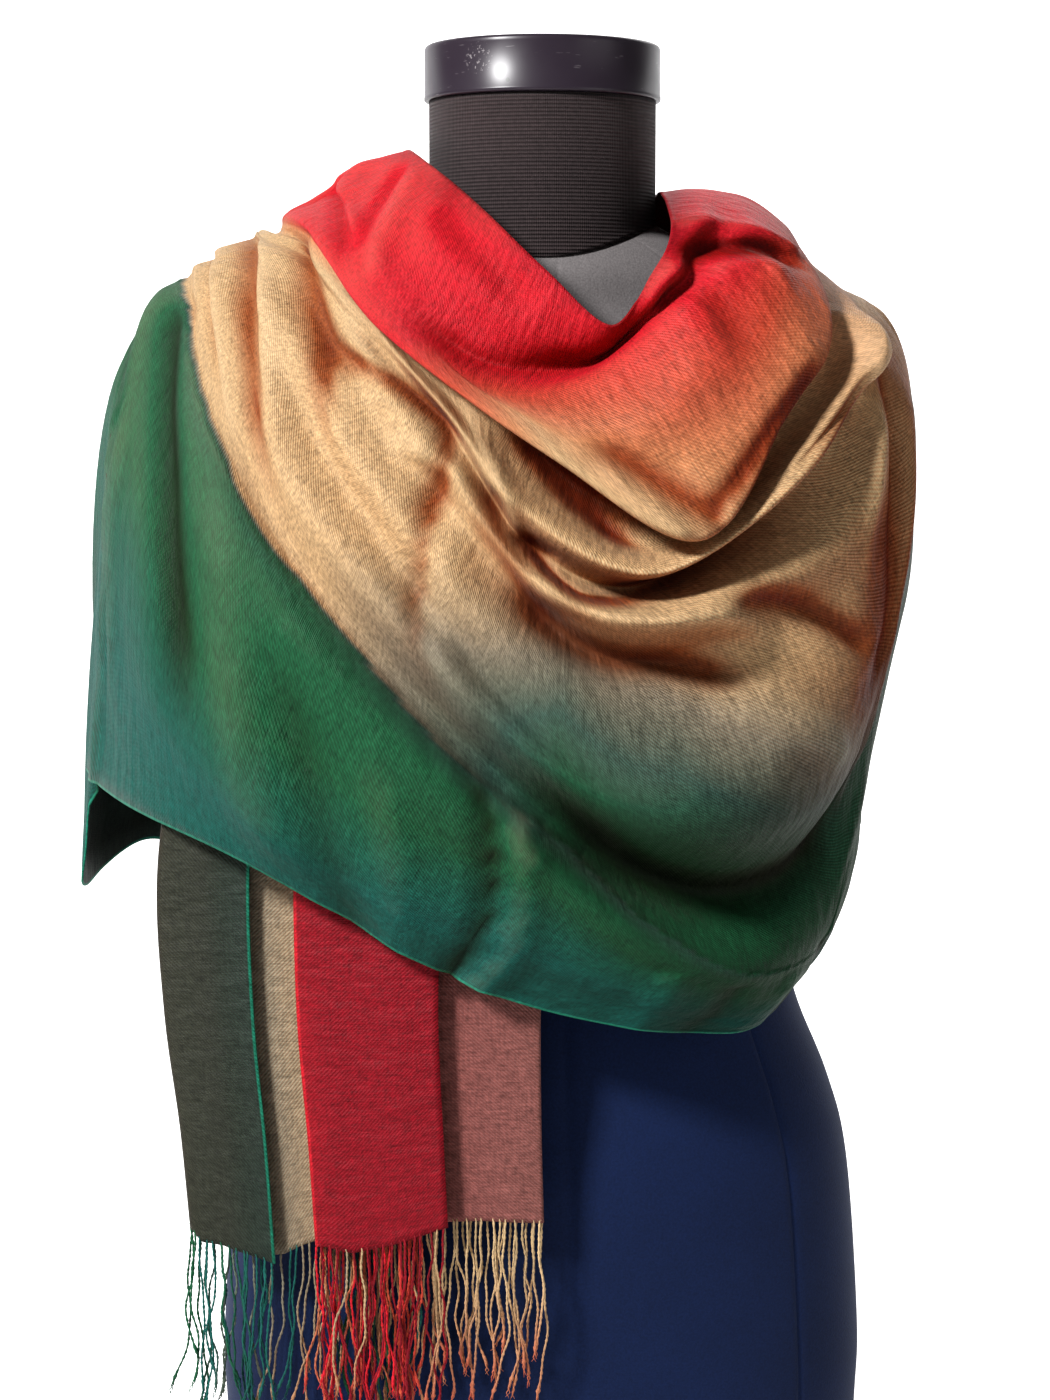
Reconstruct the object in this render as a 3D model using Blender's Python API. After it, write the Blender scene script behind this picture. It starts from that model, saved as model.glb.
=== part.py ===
"""A wide, fine stole with fringed ends, wound once round a limbless dress form.

One end hangs in front, folded like an accordion. From the left shoulder the cloth crosses the
back, comes over the right shoulder, falls in cowl folds over the chest, climbs over the left
shoulder again and ends behind it. "Right" and "left" are those of the front view: right is +X.

Metres, +Z up, the front faces -Y. The origin is the middle of the form's flat base.
"""

import math
from collections import namedtuple

import bpy
import numpy as np

MM = 0.001

# Driving dimensions of the cloth
CLOTH_WALL = 1.7 * MM
SEAM_GAP = 0.3 * MM
FRINGE_LENGTH = 100 * MM
FRINGE_BAND = 4 * MM
STRAND_WIDTH = 2.2 * MM
STRAND_SPACING = 9 * MM
STRAND_LEVELS = 3

# Driving dimensions of the dress form
NECK_RADIUS = 59 * MM
CAP_RADIUS = 61.5 * MM
CAP_TOP = 817 * MM
CAP_BOTTOM = 789 * MM
CAP_EDGE = 2.0 * MM
NECK_HEM_FRONT = 707 * MM
NECK_HEM_RISE = 19 * MM
FORM_SIDES = 36
FORM_ROUNDNESS = 2.35
FORM_TURN = math.radians(7)

# The outline of the drape at each height, in mm: half widths to the right and left, and how far
# it stands in front of and behind the axis. The rows run from the hem up to the neck.
Outline = namedtuple("Outline", "z right left front back")
DRAPE_OUTLINE = [
    Outline(300, 135, 232, 138, 128),
    Outline(330, 139, 236, 142, 130),
    Outline(368, 161, 239, 150, 133),
    Outline(406, 168, 242, 158, 136),
    Outline(449, 173, 244, 165, 138),
    Outline(492, 184, 244, 165, 138),
    Outline(535, 193, 244, 160, 137),
    Outline(577, 197, 241, 150, 133),
    Outline(619, 195, 236, 134, 127),
    Outline(640, 195, 229, 124, 122),
    Outline(661, 189, 220, 114, 115),
    Outline(682, 176, 208, 109, 107),
    Outline(703, 151, 190, 102, 97),
    Outline(723, 131, 150, 90, 87),
    Outline(741, 103, 111, 70, 76),
    Outline(760, 80, 90, 62, 68),
]
DRAPE_ROUNDNESS = 2.3

# How far the front stretch crowns up as it climbs the left shoulder, in mm, by the height where
# its row ends there: nothing on the cape's side, most on the shoulder, nothing beside the neck
SHOULDER_CROWN = [(600, 0), (700, 7), (745, 7), (764, 0)]

# The folds of the front stretch, from the neck selvedge down to the teal hem. Each row follows
# one ridge, roll or valley from the right shoulder to the left one, as (x, z) in mm. The out
# columns say how far it stands off the drape's outline on the right, at the lowest point and
# on the left, in mm: rolls are positive and valleys negative.
Fold = namedtuple(
    "Fold",
    "name right_top right_upper right_mid low left_mid left_upper left_top "
    "out_right out_low out_left",
)
FRONT_FOLDS = [
    Fold("neck edge", (60.4, 742), (62, 716), (52, 696), (34, 672), (1, 699), (-36, 735), (-70, 764),
         0, -6, 0),
    Fold("band slope", (77, 744), (76, 718), (60, 694), (32, 661), (-9, 676), (-51, 717), (-89, 759),
         1, -9, 2),
    Fold("cowl valley", (92, 743), (86, 713), (67, 690), (28, 653), (-19, 655), (-63, 697), (-103, 752),
         -3, -10, 3),
    Fold("cowl crest", (108, 739), (98, 708), (76, 684), (23, 642), (-28, 641), (-71, 687), (-110, 745),
         7, 6, 5),
    Fold("cowl face", (127, 725), (116, 693), (97, 650), (46, 608), (-14, 630), (-77, 678), (-120, 739),
         14, 12, 6),
    Fold("roll edge", (135, 714), (136, 666), (110, 626), (69, 571), (5, 608), (-79, 671), (-130, 733),
         16, 14, 5),
    Fold("roll recess", (141, 706), (134, 661), (104, 621), (64, 580), (0, 612), (-71, 665), (-131, 726),
         -9, -16, -1),
    Fold("pocket wall", (147, 700), (146, 655), (112, 610), (58, 566), (-6, 599), (-65, 655), (-135, 721),
         -8, -14, -2),
    Fold("pocket lip", (154, 694), (161, 653), (122, 602), (53, 555), (-9, 584), (-55, 640), (-140, 723),
         9, 8, 2),
    Fold("pocket floor", (162, 690), (163, 636), (127, 588), (51, 546), (-9, 568), (-53, 629), (-144, 721),
         -13, -16, -3),
    Fold("second lip", (171, 686), (172, 620), (141, 565), (55, 534), (-5, 552), (-57, 618), (-149, 722),
         5, 6, 3),
    Fold("lip shadow", (180, 679), (179, 596), (149, 541), (64, 514), (3, 531), (-67, 608), (-154, 719),
         -6, -7, -2),
    Fold("chest slope", (188, 664), (183, 570), (158, 511), (74, 489), (2, 506), (-83, 600), (-159, 717),
         2, 0, 4),
    Fold("chest crown", (194, 640), (178, 530), (156, 484), (80, 455), (0, 481), (-98, 595), (-167, 713),
         4, 7, -4),
    Fold("chest roll", (197, 606), (171, 492), (149, 450), (83, 427), (4, 461), (-111, 584), (-174, 708),
         3, 7, 5),
    Fold("belly valley", (194, 545), (163, 450), (141, 407), (81, 397), (6, 433), (-122, 563), (-181, 703),
         -6, -12, -5),
    Fold("crossing pleat", (181, 480), (157, 408), (138, 368), (84, 362), (6, 411), (-127, 542), (-189, 697),
         1, 1, 6),
    Fold("hem slope", (173, 440), (152, 383), (132, 349), (77, 350), (-6, 392), (-145, 511), (-206, 682),
         2, 4, 3),
    Fold("hem swell", (169, 408), (146, 360), (124, 335), (67, 339), (-21, 374), (-156, 462), (-228, 620),
         1, 3, 6),
    Fold("teal hem", (163, 379), (137, 342), (110, 322), (52, 328), (-36, 353), (-153, 415), (-243, 439),
         0, 0, 0),
]
FRONT_STEPS = 4
FOLD_STEPS = 2

# The swags of the back stretch, from the neck selvedge down: the front fold whose right end
# each row carries on, and its (x, z) in mm across the back.
Swag = namedtuple("Swag", "name carries_on right middle left out")
BACK_SWAGS = [
    Swag("nape edge", "neck edge", (52, 736), (0, 728), (-50, 728), 0),
    Swag("nape roll", "cowl crest", (98, 716), (0, 697), (-88, 716), 5),
    Swag("first valley", "pocket wall", (124, 673), (4, 655), (-104, 697), -6),
    Swag("first swag", "second lip", (140, 628), (8, 612), (-113, 672), 7),
    Swag("second valley", "chest crown", (150, 585), (10, 568), (-117, 642), -6),
    Swag("second swag", "chest roll", (152, 544), (12, 526), (-118, 610), 7),
    Swag("third valley", "belly valley", (150, 498), (14, 482), (-116, 576), -5),
    Swag("third swag", "crossing pleat", (147, 447), (17, 440), (-113, 543), 6),
    Swag("hem valley", "hem swell", (142, 404), (22, 402), (-110, 512), -3),
    Swag("back hem", "teal hem", (136, 374), (26, 374), (-107, 484), 1),
]
BACK_STEPS = 6
UNDERLAP = 9

# The shoulder line under the front stretch, where the back stretch turns into the tail, in mm
UNDER_SHOULDER = [(-74, 734), (-96, 728), (-124, 717), (-152, 704), (-178, 689), (-196, 674)]

# The hanging end behind the left shoulder: where its two corners are, and its pleats
END_RED_CORNER = (-56, 326)
END_TEAL_CORNER = (-182, 336)
END_STAND_OFF = 19
END_PLEAT = 8
END_STEPS = 12

# Its corner just behind the left arm, in mm: how far the rows of these folds stand out there, how
# far the teal selvedge drops, and where along the end it does so
CORNER_FLARE = {"hem slope": 4, "hem swell": 17, "teal hem": 4}
CORNER_DROP = 62
CORNER_PLACE = 0.12

# The tail in front: each layer of its accordion from the teal selvedge to the red one, with the
# x where it starts and ends and how deep it lies, in mm. Lower depth numbers lie in front.
Layer = namedtuple("Layer", "name x_start x_end depth")
TAIL_LAYERS = [
    Layer("teal strip", -134, -178, -3.5),
    Layer("wide back layer", -178, 0, 6.5),
    Layer("mauve layer", 0, -112, 3.2),
    Layer("inner pleat", -112, -60, 0.0),
    Layer("inner return", -60, -113, -3.2),
    Layer("red layer", -113, -47, -6.4),
]
LAYER_POINTS = 4
FOLD_TUCK = 2.2

# The tail's way down, in mm: its height, the x and y of its middle, its width against that at
# its end, and how far its layers have turned from lying on the shoulder (0) to hanging (1).
Drop = namedtuple("Drop", "z x y width lean")
TAIL_DROPS = [
    Drop(None, -124, 0, 0.47, 0.0),
    Drop(None, -119, -48, 0.47, 0.5),
    Drop(640, -112, -99, 0.5, 1.0),
    Drop(560, -106, -124, 0.72, 1.0),
    Drop(480, -99, -130, 0.93, 1.0),
    Drop(400, -97, -132, 1.08, 1.0),
    Drop(330, -96, -134, 1.06, 1.0),
    Drop(270, -92, -135, 1.02, 1.0),
    Drop(217, -89, -136, 1.0, 1.0),
]
TAIL_MIDDLE = -89
TAIL_BOW = 34
TAIL_STEPS = 2
SHOULDER_FALL = 0.22
STACK_UNDER_SHOULDER = 8

# The dress form, in mm: half width, front depth and back depth at each height, and how much
# higher the ring stands at its sides
FormRing = namedtuple("FormRing", "z half_width front back rise")
BODY_RINGS = [
    FormRing(0, 166, 112, 108, 0),
    FormRing(95, 171, 115, 112, 0),
    FormRing(140, 172, 115, 113, 0),
    FormRing(230, 165, 111, 108, 0),
    FormRing(274, 154, 104, 100, 0),
    FormRing(319, 136, 95, 90, 0),
    FormRing(370, 125, 88, 84, 0),
    FormRing(420, 130, 93, 88, 0),
    FormRing(452, 136, 99, 92, 0),
]
CHEST_RINGS = [
    FormRing(452, 136, 99, 92, 0),
    FormRing(500, 144, 107, 97, 0),
    FormRing(560, 148, 106, 100, 0),
    FormRing(610, 156, 94, 96, 0),
    FormRing(645, 161, 80, 88, 2),
    FormRing(664, 153, 69, 77, 3),
    FormRing(681, 127, 62, 69, 7),
    FormRing(693, 97, 60, 63, 11),
]

COLOURS = {
    "front_stretch": (0.42, 0.25, 0.12),
    "back_stretch": (0.08, 0.22, 0.16),
    "hanging_end": (0.05, 0.28, 0.22),
    "tail": (0.32, 0.03, 0.05),
    "tail_fringe": (0.36, 0.05, 0.06),
    "end_fringe": (0.04, 0.3, 0.24),
    "form_cap": (0.03, 0.022, 0.026),
    "form_neck": (0.04, 0.035, 0.035),
    "form_chest": (0.12, 0.125, 0.13),
    "form_body": (0.01, 0.022, 0.07),
}
SMOOTH_ANGLE = math.radians(50)


# Curves and surfaces


def smooth_through(rows, steps):
    """Points on a smooth curve through the rows of an array, with steps spans between two rows."""
    rows = np.asarray(rows, float)
    before = 2 * rows[0] - rows[1]
    after = 2 * rows[-1] - rows[-2]
    padded = np.concatenate([[before], rows, [after]])
    points = []
    for k in range(len(rows) - 1):
        a, b, c, d = padded[k : k + 4]
        for t in np.arange(steps) / steps:
            points.append(
                0.5 * (2 * b + (c - a) * t + (2 * a - 5 * b + 4 * c - d) * t**2
                       + (3 * b - a - 3 * c + d) * t**3)
            )
    points.append(rows[-1])
    return np.array(points)


def outline_at(z):
    """The drape's half widths and depths at a height, read between the rows of the outline."""
    heights = [row.z for row in DRAPE_OUTLINE]
    return [np.interp(z, heights, [row[k] for row in DRAPE_OUTLINE]) for k in range(1, 5)]


def on_outline(x, z, out, front=True, ease=1.0):
    """A point of the drape at (x, z) in mm, moved out from the drape's outline by out.

    Ease brings it back to the plane y = 0 at a seam, where ease is 0.
    """
    right, left, ahead, behind = outline_at(z)
    half = right if x > 0 else left
    depth = ahead if front else behind
    reach = min(abs(x) / half, 0.995)
    y = depth * (1 - reach**DRAPE_ROUNDNESS) ** (1 / DRAPE_ROUNDNESS)
    away = np.array([x / half**2, y / depth**2])
    away /= np.linalg.norm(away)
    x, y = x + out * ease * away[0], (y + out * away[1]) * ease
    return np.array([x, -y if front else y, z])


def seam_ease(column, last, steps):
    """How far a column has left the seams at both ends of a row, from 0 to 1."""
    from_end = min(column, last - column) / steps
    return (1 - (1 - min(from_end, 1.0)) ** 3) ** 0.5


def draped(stations, steps, front=True):
    """A row of the drape through stations (x, z, out), on the outline between two seams."""
    fine = smooth_through(stations, steps)
    last = len(fine) - 1
    if front:
        for k in range(last - steps, last):
            t = (last - k) / steps
            crown = np.interp(fine[last][1], *zip(*SHOULDER_CROWN))
            fine[k][1] += crown * 6.75 * t * (1 - t) ** 2
    return [
        on_outline(x, z, out, front, seam_ease(k, last, steps))
        for k, (x, z, out) in enumerate(fine)
    ]


def shoulder_height(x):
    """Height in mm of the under layer on the left shoulder at x."""
    xs, zs = zip(*sorted(UNDER_SHOULDER))
    return np.interp(x, xs, zs)


# The cloth's middle surfaces, as arrays [across][along] in mm


def front_surface():
    rows = []
    for fold in FRONT_FOLDS:
        stations = [
            (*fold.right_top, 0),
            (*fold.right_upper, 0.6 * fold.out_right),
            (*fold.right_mid, fold.out_right),
            (*fold.low, fold.out_low),
            (*fold.left_mid, 0.5 * (fold.out_low + fold.out_left)),
            (*fold.left_upper, fold.out_left),
            (*fold.left_top, 0),
        ]
        rows.append(draped(stations, FRONT_STEPS))
    return smooth_through(rows, FOLD_STEPS)


def back_surface():
    folds = {fold.name: fold for fold in FRONT_FOLDS}
    shoulder = smooth_through(UNDER_SHOULDER, 9)
    rows = []
    for k, swag in enumerate(BACK_SWAGS):
        right_end = folds[swag.carries_on].right_top
        left_end = shoulder[round(k * (len(shoulder) - 1) / (len(BACK_SWAGS) - 1))]
        stations = [
            (*right_end, 0),
            (*swag.right, 0.7 * swag.out),
            (*swag.middle, swag.out),
            (*swag.left, 0.7 * swag.out - UNDERLAP),
            (*left_end, 0),
        ]
        rows.append(draped(stations, BACK_STEPS, front=False))
    surface = smooth_through(rows, FOLD_STEPS)
    surface[:, :, 1] += SEAM_GAP / MM
    return surface


def end_surface():
    rows = []
    last = len(FRONT_FOLDS) - 1
    for k, fold in enumerate(FRONT_FOLDS):
        x_top, z_top = fold.left_top
        across = k / last
        x_end = END_RED_CORNER[0] + across * (END_TEAL_CORNER[0] - END_RED_CORNER[0])
        z_end = END_RED_CORNER[1] + across * (END_TEAL_CORNER[1] - END_RED_CORNER[1])
        pleat = END_PLEAT * (-1) ** k
        row = [np.array([x_top, 0, z_top])]
        for step in range(1, END_STEPS + 1):
            t = step / END_STEPS
            corner = t / CORNER_PLACE * math.exp(1 - t / CORNER_PLACE)
            x = x_top + (x_end - x_top) * math.sin(t * math.pi / 2) ** 1.3
            z = z_top + (z_end - z_top) * t**1.25
            if k == last:
                z -= CORNER_DROP * corner
            out = END_STAND_OFF * min(1, 5 * t) + pleat * t**1.2
            out += CORNER_FLARE.get(fold.name, 0) * corner
            row.append(on_outline(x, z, out, False, seam_ease(step, 2 * END_STEPS, 3)))
        rows.append(row)
    surface = smooth_through(rows, FOLD_STEPS)
    surface[:, :, 1] += SEAM_GAP / MM
    return surface


def accordion():
    """The tail's section as (x, depth) in mm, from the teal selvedge to the red one."""
    path = []
    for k, layer in enumerate(TAIL_LAYERS):
        way = math.copysign(1, layer.x_end - layer.x_start)
        first = layer.x_start + (FOLD_TUCK * way if k else 0)
        is_last = k == len(TAIL_LAYERS) - 1
        last = layer.x_end - (0 if is_last else FOLD_TUCK * way)
        for t in np.linspace(0, 1, LAYER_POINTS):
            path.append((first + (last - first) * t, layer.depth))
        if not is_last:
            following = TAIL_LAYERS[k + 1]
            path.append((layer.x_end + 0.3 * FOLD_TUCK * way, (layer.depth + following.depth) / 2))
    # The wide layer starts just behind the teal strip and sinks behind the others
    wide = [k for k, (x, depth) in enumerate(path) if depth == TAIL_LAYERS[1].depth]
    start = TAIL_LAYERS[0].depth + 4.5
    for k, t in zip(wide, (0, 1, 1, 1)):
        path[k] = (path[k][0], start + (TAIL_LAYERS[1].depth - start) * t)
    turn = wide[0] - 1
    path[turn] = (path[turn][0], (TAIL_LAYERS[0].depth + start) / 2)
    return np.array(path)


def tail_section(drop, section):
    """The accordion at one height of the tail."""
    turned = drop.lean * math.pi / 2
    points = []
    for x, depth in section:
        x = drop.x + (x - TAIL_MIDDLE) * drop.width
        z = drop.z
        if z is None:
            z = shoulder_height(x) - STACK_UNDER_SHOULDER + drop.y * SHOULDER_FALL
        bow = TAIL_BOW * (x / 190) ** 2 * max(2 * drop.lean - 1, 0)
        points.append((x, drop.y + depth * math.sin(turned) + bow, z - depth * math.cos(turned)))
    return np.array(points)


def tail_surface():
    section = accordion()
    rows = [tail_section(drop, section) for drop in TAIL_DROPS]
    return np.swapaxes(smooth_through(rows, TAIL_STEPS), 0, 1)


# Solids from surfaces


def material(name):
    """A plain material in the piece's own colour."""
    made = bpy.data.materials.new(name)
    made.use_nodes = True
    shader = made.node_tree.nodes["Principled BSDF"]
    shader.inputs["Base Color"].default_value = (*COLOURS[name], 1)
    shader.inputs["Roughness"].default_value = 0.35 if name == "form_cap" else 0.85
    shader.inputs["Metallic"].default_value = 0
    return made


def volume_of(points, faces):
    total = 0.0
    for face in faces:
        a = points[face[0]]
        for k in range(1, len(face) - 1):
            total += np.dot(a, np.cross(points[face[k]], points[face[k + 1]]))
    return total / 6


def solid(name, points, faces):
    """A mesh object whose faces point out."""
    points = np.asarray(points)
    if volume_of(points, faces) < 0:
        faces = [tuple(reversed(face)) for face in faces]
    mesh = bpy.data.meshes.new(name)
    mesh.from_pydata([tuple(p) for p in points], [], [tuple(f) for f in faces])
    mesh.update()
    mesh.shade_smooth()
    mesh.set_sharp_from_angle(angle=SMOOTH_ANGLE)
    mesh.materials.append(material(name))
    made = bpy.data.objects.new(name, mesh)
    bpy.context.scene.collection.objects.link(made)
    return made


def normals_of(surface, flat_start, flat_end):
    """Unit normals of a surface array. A flat end keeps its wall in the plane y = constant."""
    across = np.gradient(surface, axis=0)
    along = np.gradient(surface, axis=1)
    normals = np.cross(across, along)
    if flat_start:
        normals[:, 0, 1] = 0
    if flat_end:
        normals[:, -1, 1] = 0
    return normals / np.linalg.norm(normals, axis=2, keepdims=True)


def wall(name, surface, flat_start=False, flat_end=False, thickness=CLOTH_WALL):
    """A cloth wall of even thickness about a middle surface given in mm."""
    surface = np.asarray(surface) * MM
    normals = normals_of(surface, flat_start, flat_end)
    rows, columns = surface.shape[:2]
    points = np.concatenate([
        (surface + normals * thickness / 2).reshape(-1, 3),
        (surface - normals * thickness / 2).reshape(-1, 3),
    ])
    inner = rows * columns
    faces = []
    for i in range(rows - 1):
        for j in range(columns - 1):
            a, b = i * columns + j, i * columns + j + 1
            c, d = b + columns, a + columns
            faces += [(a, b, c, d), (inner + d, inner + c, inner + b, inner + a)]
    edge = [(0, j) for j in range(columns)]
    edge += [(i, columns - 1) for i in range(1, rows)]
    edge += [(rows - 1, j) for j in range(columns - 2, -1, -1)]
    edge += [(i, 0) for i in range(rows - 2, 0, -1)]
    ring = [i * columns + j for i, j in edge]
    for a, b in zip(ring, ring[1:] + ring[:1]):
        faces.append((b, a, inner + a, inner + b))
    return solid(name, points, faces)


# The fringe


def band_cells(hem):
    """Where the band's rings stand along a hem: (point, tangent, whether a strand follows).

    Each stretch between two points of the hem carries its own strands; a fold carries none.
    """
    cells = []
    for a, b in zip(hem, hem[1:]):
        span = np.linalg.norm(b - a)
        tangent = (b - a) / span
        count = round(span / STRAND_SPACING)
        cells.append((a, tangent, False))
        for k in range(count):
            middle = span * (k + 0.5) / count
            cells.append((a + tangent * (middle - STRAND_WIDTH / 2), tangent, True))
            cells.append((a + tangent * (middle + STRAND_WIDTH / 2), tangent, False))
    cells.append((hem[-1], tangent, False))
    return cells


def fringe(name, hem, sway):
    """A narrow band just below a hem, with strands that hang from its lower edge."""
    cells = band_cells(hem * MM)
    tangents = np.array([tangent for _, tangent, _ in cells])
    top, bottom = -SEAM_GAP, -SEAM_GAP - FRINGE_BAND
    verts, rings = [], []
    for k, (point, tangent, _) in enumerate(cells):
        previous = tangents[max(k - 1, 0)]
        side = np.cross(previous + tangent, (0, 0, 1))
        side *= CLOTH_WALL / 2 / np.linalg.norm(side)
        rings.append([len(verts) + m for m in range(4)])
        verts += [point + side + (0, 0, top), point - side + (0, 0, top)]
        verts += [point - side + (0, 0, bottom), point + side + (0, 0, bottom)]
    faces = [tuple(reversed(rings[0])), tuple(rings[-1])]
    for number, (a, b) in enumerate(zip(rings, rings[1:])):
        for k in (0, 1, 3):
            faces.append((a[k], a[(k + 1) % 4], b[(k + 1) % 4], b[k]))
        root = [a[2], a[3], b[3], b[2]]
        if not cells[number][2]:
            faces.append(tuple(root))
            continue
        corners = np.array([verts[v] for v in root])
        for level in range(1, STRAND_LEVELS + 1):
            fallen = level / STRAND_LEVELS
            shift = np.array([*sway(fallen, number), -FRINGE_LENGTH * fallen])
            ring = [len(verts) + m for m in range(4)]
            verts += list(corners + shift)
            for m in range(4):
                n = (m + 1) % 4
                faces.append((root[m], root[n], ring[n], ring[m]))
            root = ring
        faces.append(tuple(root))
    return solid(name, verts, faces)


def tail_sway(t, k):
    """How far a strand of the tail has swung aside at t of its length."""
    return (
        MM * (2.5 * math.sin(2.4 * t * math.pi) * t + 0.35 * math.sin(k * 1.7) * t),
        MM * (1.2 * math.sin(1.7 * t * math.pi) * t),
    )


# The dress form


def form_ring(row, lift=0.0):
    """A rounded ring of the form, turned with the form."""
    points = []
    for k in range(FORM_SIDES):
        angle = 2 * math.pi * k / FORM_SIDES
        c, s = math.cos(angle), math.sin(angle)
        depth = row.back if s > 0 else row.front
        power = 2 / FORM_ROUNDNESS
        x = row.half_width * math.copysign(abs(c) ** power, c)
        y = depth * math.copysign(abs(s) ** power, s)
        z = row.z + row.rise * c**2
        x, y = (
            x * math.cos(FORM_TURN) - y * math.sin(FORM_TURN),
            x * math.sin(FORM_TURN) + y * math.cos(FORM_TURN),
        )
        points.append((x * MM, y * MM, z * MM + lift))
    return points


def stack(name, rings):
    """A closed solid through rings of equal count, with a fan on each end."""
    verts = [point for ring in rings for point in ring]
    faces = []
    for level in range(len(rings) - 1):
        for k in range(FORM_SIDES):
            a, b = level * FORM_SIDES + k, level * FORM_SIDES + (k + 1) % FORM_SIDES
            faces.append((a, b, b + FORM_SIDES, a + FORM_SIDES))
    for level, top in ((0, False), (len(rings) - 1, True)):
        ring = [level * FORM_SIDES + k for k in range(FORM_SIDES)]
        centre = len(verts)
        verts.append(tuple(np.mean([verts[v] for v in ring], axis=0)))
        for a, b in zip(ring, ring[1:] + ring[:1]):
            faces.append((a, b, centre) if top else (b, a, centre))
    return solid(name, verts, faces)


def neck_hem(angle):
    """The lower edge of the neck sleeve, which is lowest in front and behind."""
    return NECK_HEM_FRONT + NECK_HEM_RISE * math.cos(angle) ** 2


def round_ring(radius, height):
    """A round ring of the neck, whose height may follow a function of the angle."""
    points = []
    for k in range(FORM_SIDES):
        angle = 2 * math.pi * k / FORM_SIDES
        z = height(angle) if callable(height) else height
        points.append((radius * math.cos(angle), radius * math.sin(angle), z))
    return points


def dress_form():
    """The limbless form: body, chest, neck sleeve and cap, each resting on the one below."""
    body = [FormRing(*row) for row in smooth_through(BODY_RINGS, 2)]
    stack("form_body", [form_ring(row) for row in body])
    chest = [FormRing(*row) for row in smooth_through(CHEST_RINGS, 2)]
    chest_rings = [form_ring(row, SEAM_GAP) for row in chest]
    chest_rings.append(round_ring(NECK_RADIUS, lambda angle: neck_hem(angle) - SEAM_GAP))
    stack("form_chest", chest_rings)
    neck_levels = [
        (NECK_RADIUS, neck_hem),
        (NECK_RADIUS, lambda angle: 0.5 * (neck_hem(angle) + CAP_BOTTOM)),
        (NECK_RADIUS, CAP_BOTTOM - SEAM_GAP),
    ]
    stack("form_neck", [round_ring(radius, height) for radius, height in neck_levels])
    cap_levels = [
        (CAP_RADIUS - CAP_EDGE / 2, CAP_BOTTOM),
        (CAP_RADIUS, CAP_BOTTOM + CAP_EDGE / 2),
        (CAP_RADIUS, CAP_TOP - CAP_EDGE),
        (CAP_RADIUS - CAP_EDGE * 0.3, CAP_TOP - CAP_EDGE * 0.3),
        (CAP_RADIUS - CAP_EDGE, CAP_TOP),
    ]
    stack("form_cap", [round_ring(radius, height) for radius, height in cap_levels])


def main():
    for old in list(bpy.data.objects):
        bpy.data.objects.remove(old)
    dress_form()
    wall("front_stretch", front_surface(), flat_start=True, flat_end=True)
    wall("back_stretch", back_surface(), flat_start=True, flat_end=True)
    end = end_surface()
    wall("hanging_end", end, flat_start=True)
    tail = tail_surface()
    wall("tail", tail, flat_start=True)
    fringe("tail_fringe", tail[:, -1], tail_sway)
    fringe("end_fringe", end[:, -1], tail_sway)


main()
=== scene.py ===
"""A fine ombre stole with fringed ends, wound once round a limbless dress form.

The file is laid out as an add-on and is run as a script. Its operators make the wrap, the tail,
the fringes, the dress form and the stage. Metres, +Z up, the front faces -Y.
"""

import math
from collections import namedtuple

import bpy
import numpy as np
from bpy.props import FloatProperty, FloatVectorProperty, IntProperty, PointerProperty
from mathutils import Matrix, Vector


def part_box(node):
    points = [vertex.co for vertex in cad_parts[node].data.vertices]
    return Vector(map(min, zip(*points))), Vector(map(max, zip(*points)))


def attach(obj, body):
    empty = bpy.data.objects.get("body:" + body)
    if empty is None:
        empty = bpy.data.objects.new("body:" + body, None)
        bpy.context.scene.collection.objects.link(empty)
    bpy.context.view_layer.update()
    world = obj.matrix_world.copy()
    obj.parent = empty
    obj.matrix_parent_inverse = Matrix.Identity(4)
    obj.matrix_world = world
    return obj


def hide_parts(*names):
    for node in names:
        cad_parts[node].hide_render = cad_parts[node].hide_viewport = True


bl_info = {
    "name": "Draped stole on a dress form",
    "version": (1, 0, 0),
    "blender": (4, 5, 0),
    "location": "View3D > Sidebar > Stole",
    "description": "Makes a fringed ombre stole wound round a limbless dress form",
    "category": "Add Mesh",
}

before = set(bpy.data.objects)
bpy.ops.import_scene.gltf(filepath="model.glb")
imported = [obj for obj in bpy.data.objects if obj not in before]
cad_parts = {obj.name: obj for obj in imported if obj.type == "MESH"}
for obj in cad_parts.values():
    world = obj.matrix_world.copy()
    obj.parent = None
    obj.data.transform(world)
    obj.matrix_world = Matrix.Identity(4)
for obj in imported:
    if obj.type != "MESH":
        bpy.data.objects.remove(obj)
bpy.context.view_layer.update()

MM = 0.001


def rows_of(kind, rows):
    return [kind(*row) for row in rows]


# The drape, as the part's source has it, in mm: half widths to the right and left, and how far it
# stands in front of and behind the axis, from the hem up to the neck
Outline = namedtuple("Outline", "z right left front back")
DRAPE_OUTLINE = rows_of(Outline, [
    (300, 135, 232, 138, 128),
    (330, 139, 236, 142, 130),
    (368, 161, 239, 150, 133),
    (406, 168, 242, 158, 136),
    (449, 173, 244, 165, 138),
    (492, 184, 244, 165, 138),
    (535, 193, 244, 160, 137),
    (577, 197, 241, 150, 133),
    (619, 195, 236, 134, 127),
    (640, 195, 229, 124, 122),
    (661, 189, 220, 114, 115),
    (682, 176, 208, 109, 107),
    (703, 151, 190, 102, 97),
    (723, 131, 150, 90, 87),
    (741, 103, 111, 70, 76),
    (760, 80, 90, 62, 68),
])
DRAPE_ROUNDNESS = 2.3

# How far the wrap's front rises just before the left shoulder, by the height that a fold reaches
# there. The peak brings t (1 - t)^2 up to 1.
SHOULDER_CROWN = [(600, 0), (700, 7), (745, 7), (764, 0)]
CROWN_PEAK = 27 / 4

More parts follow.
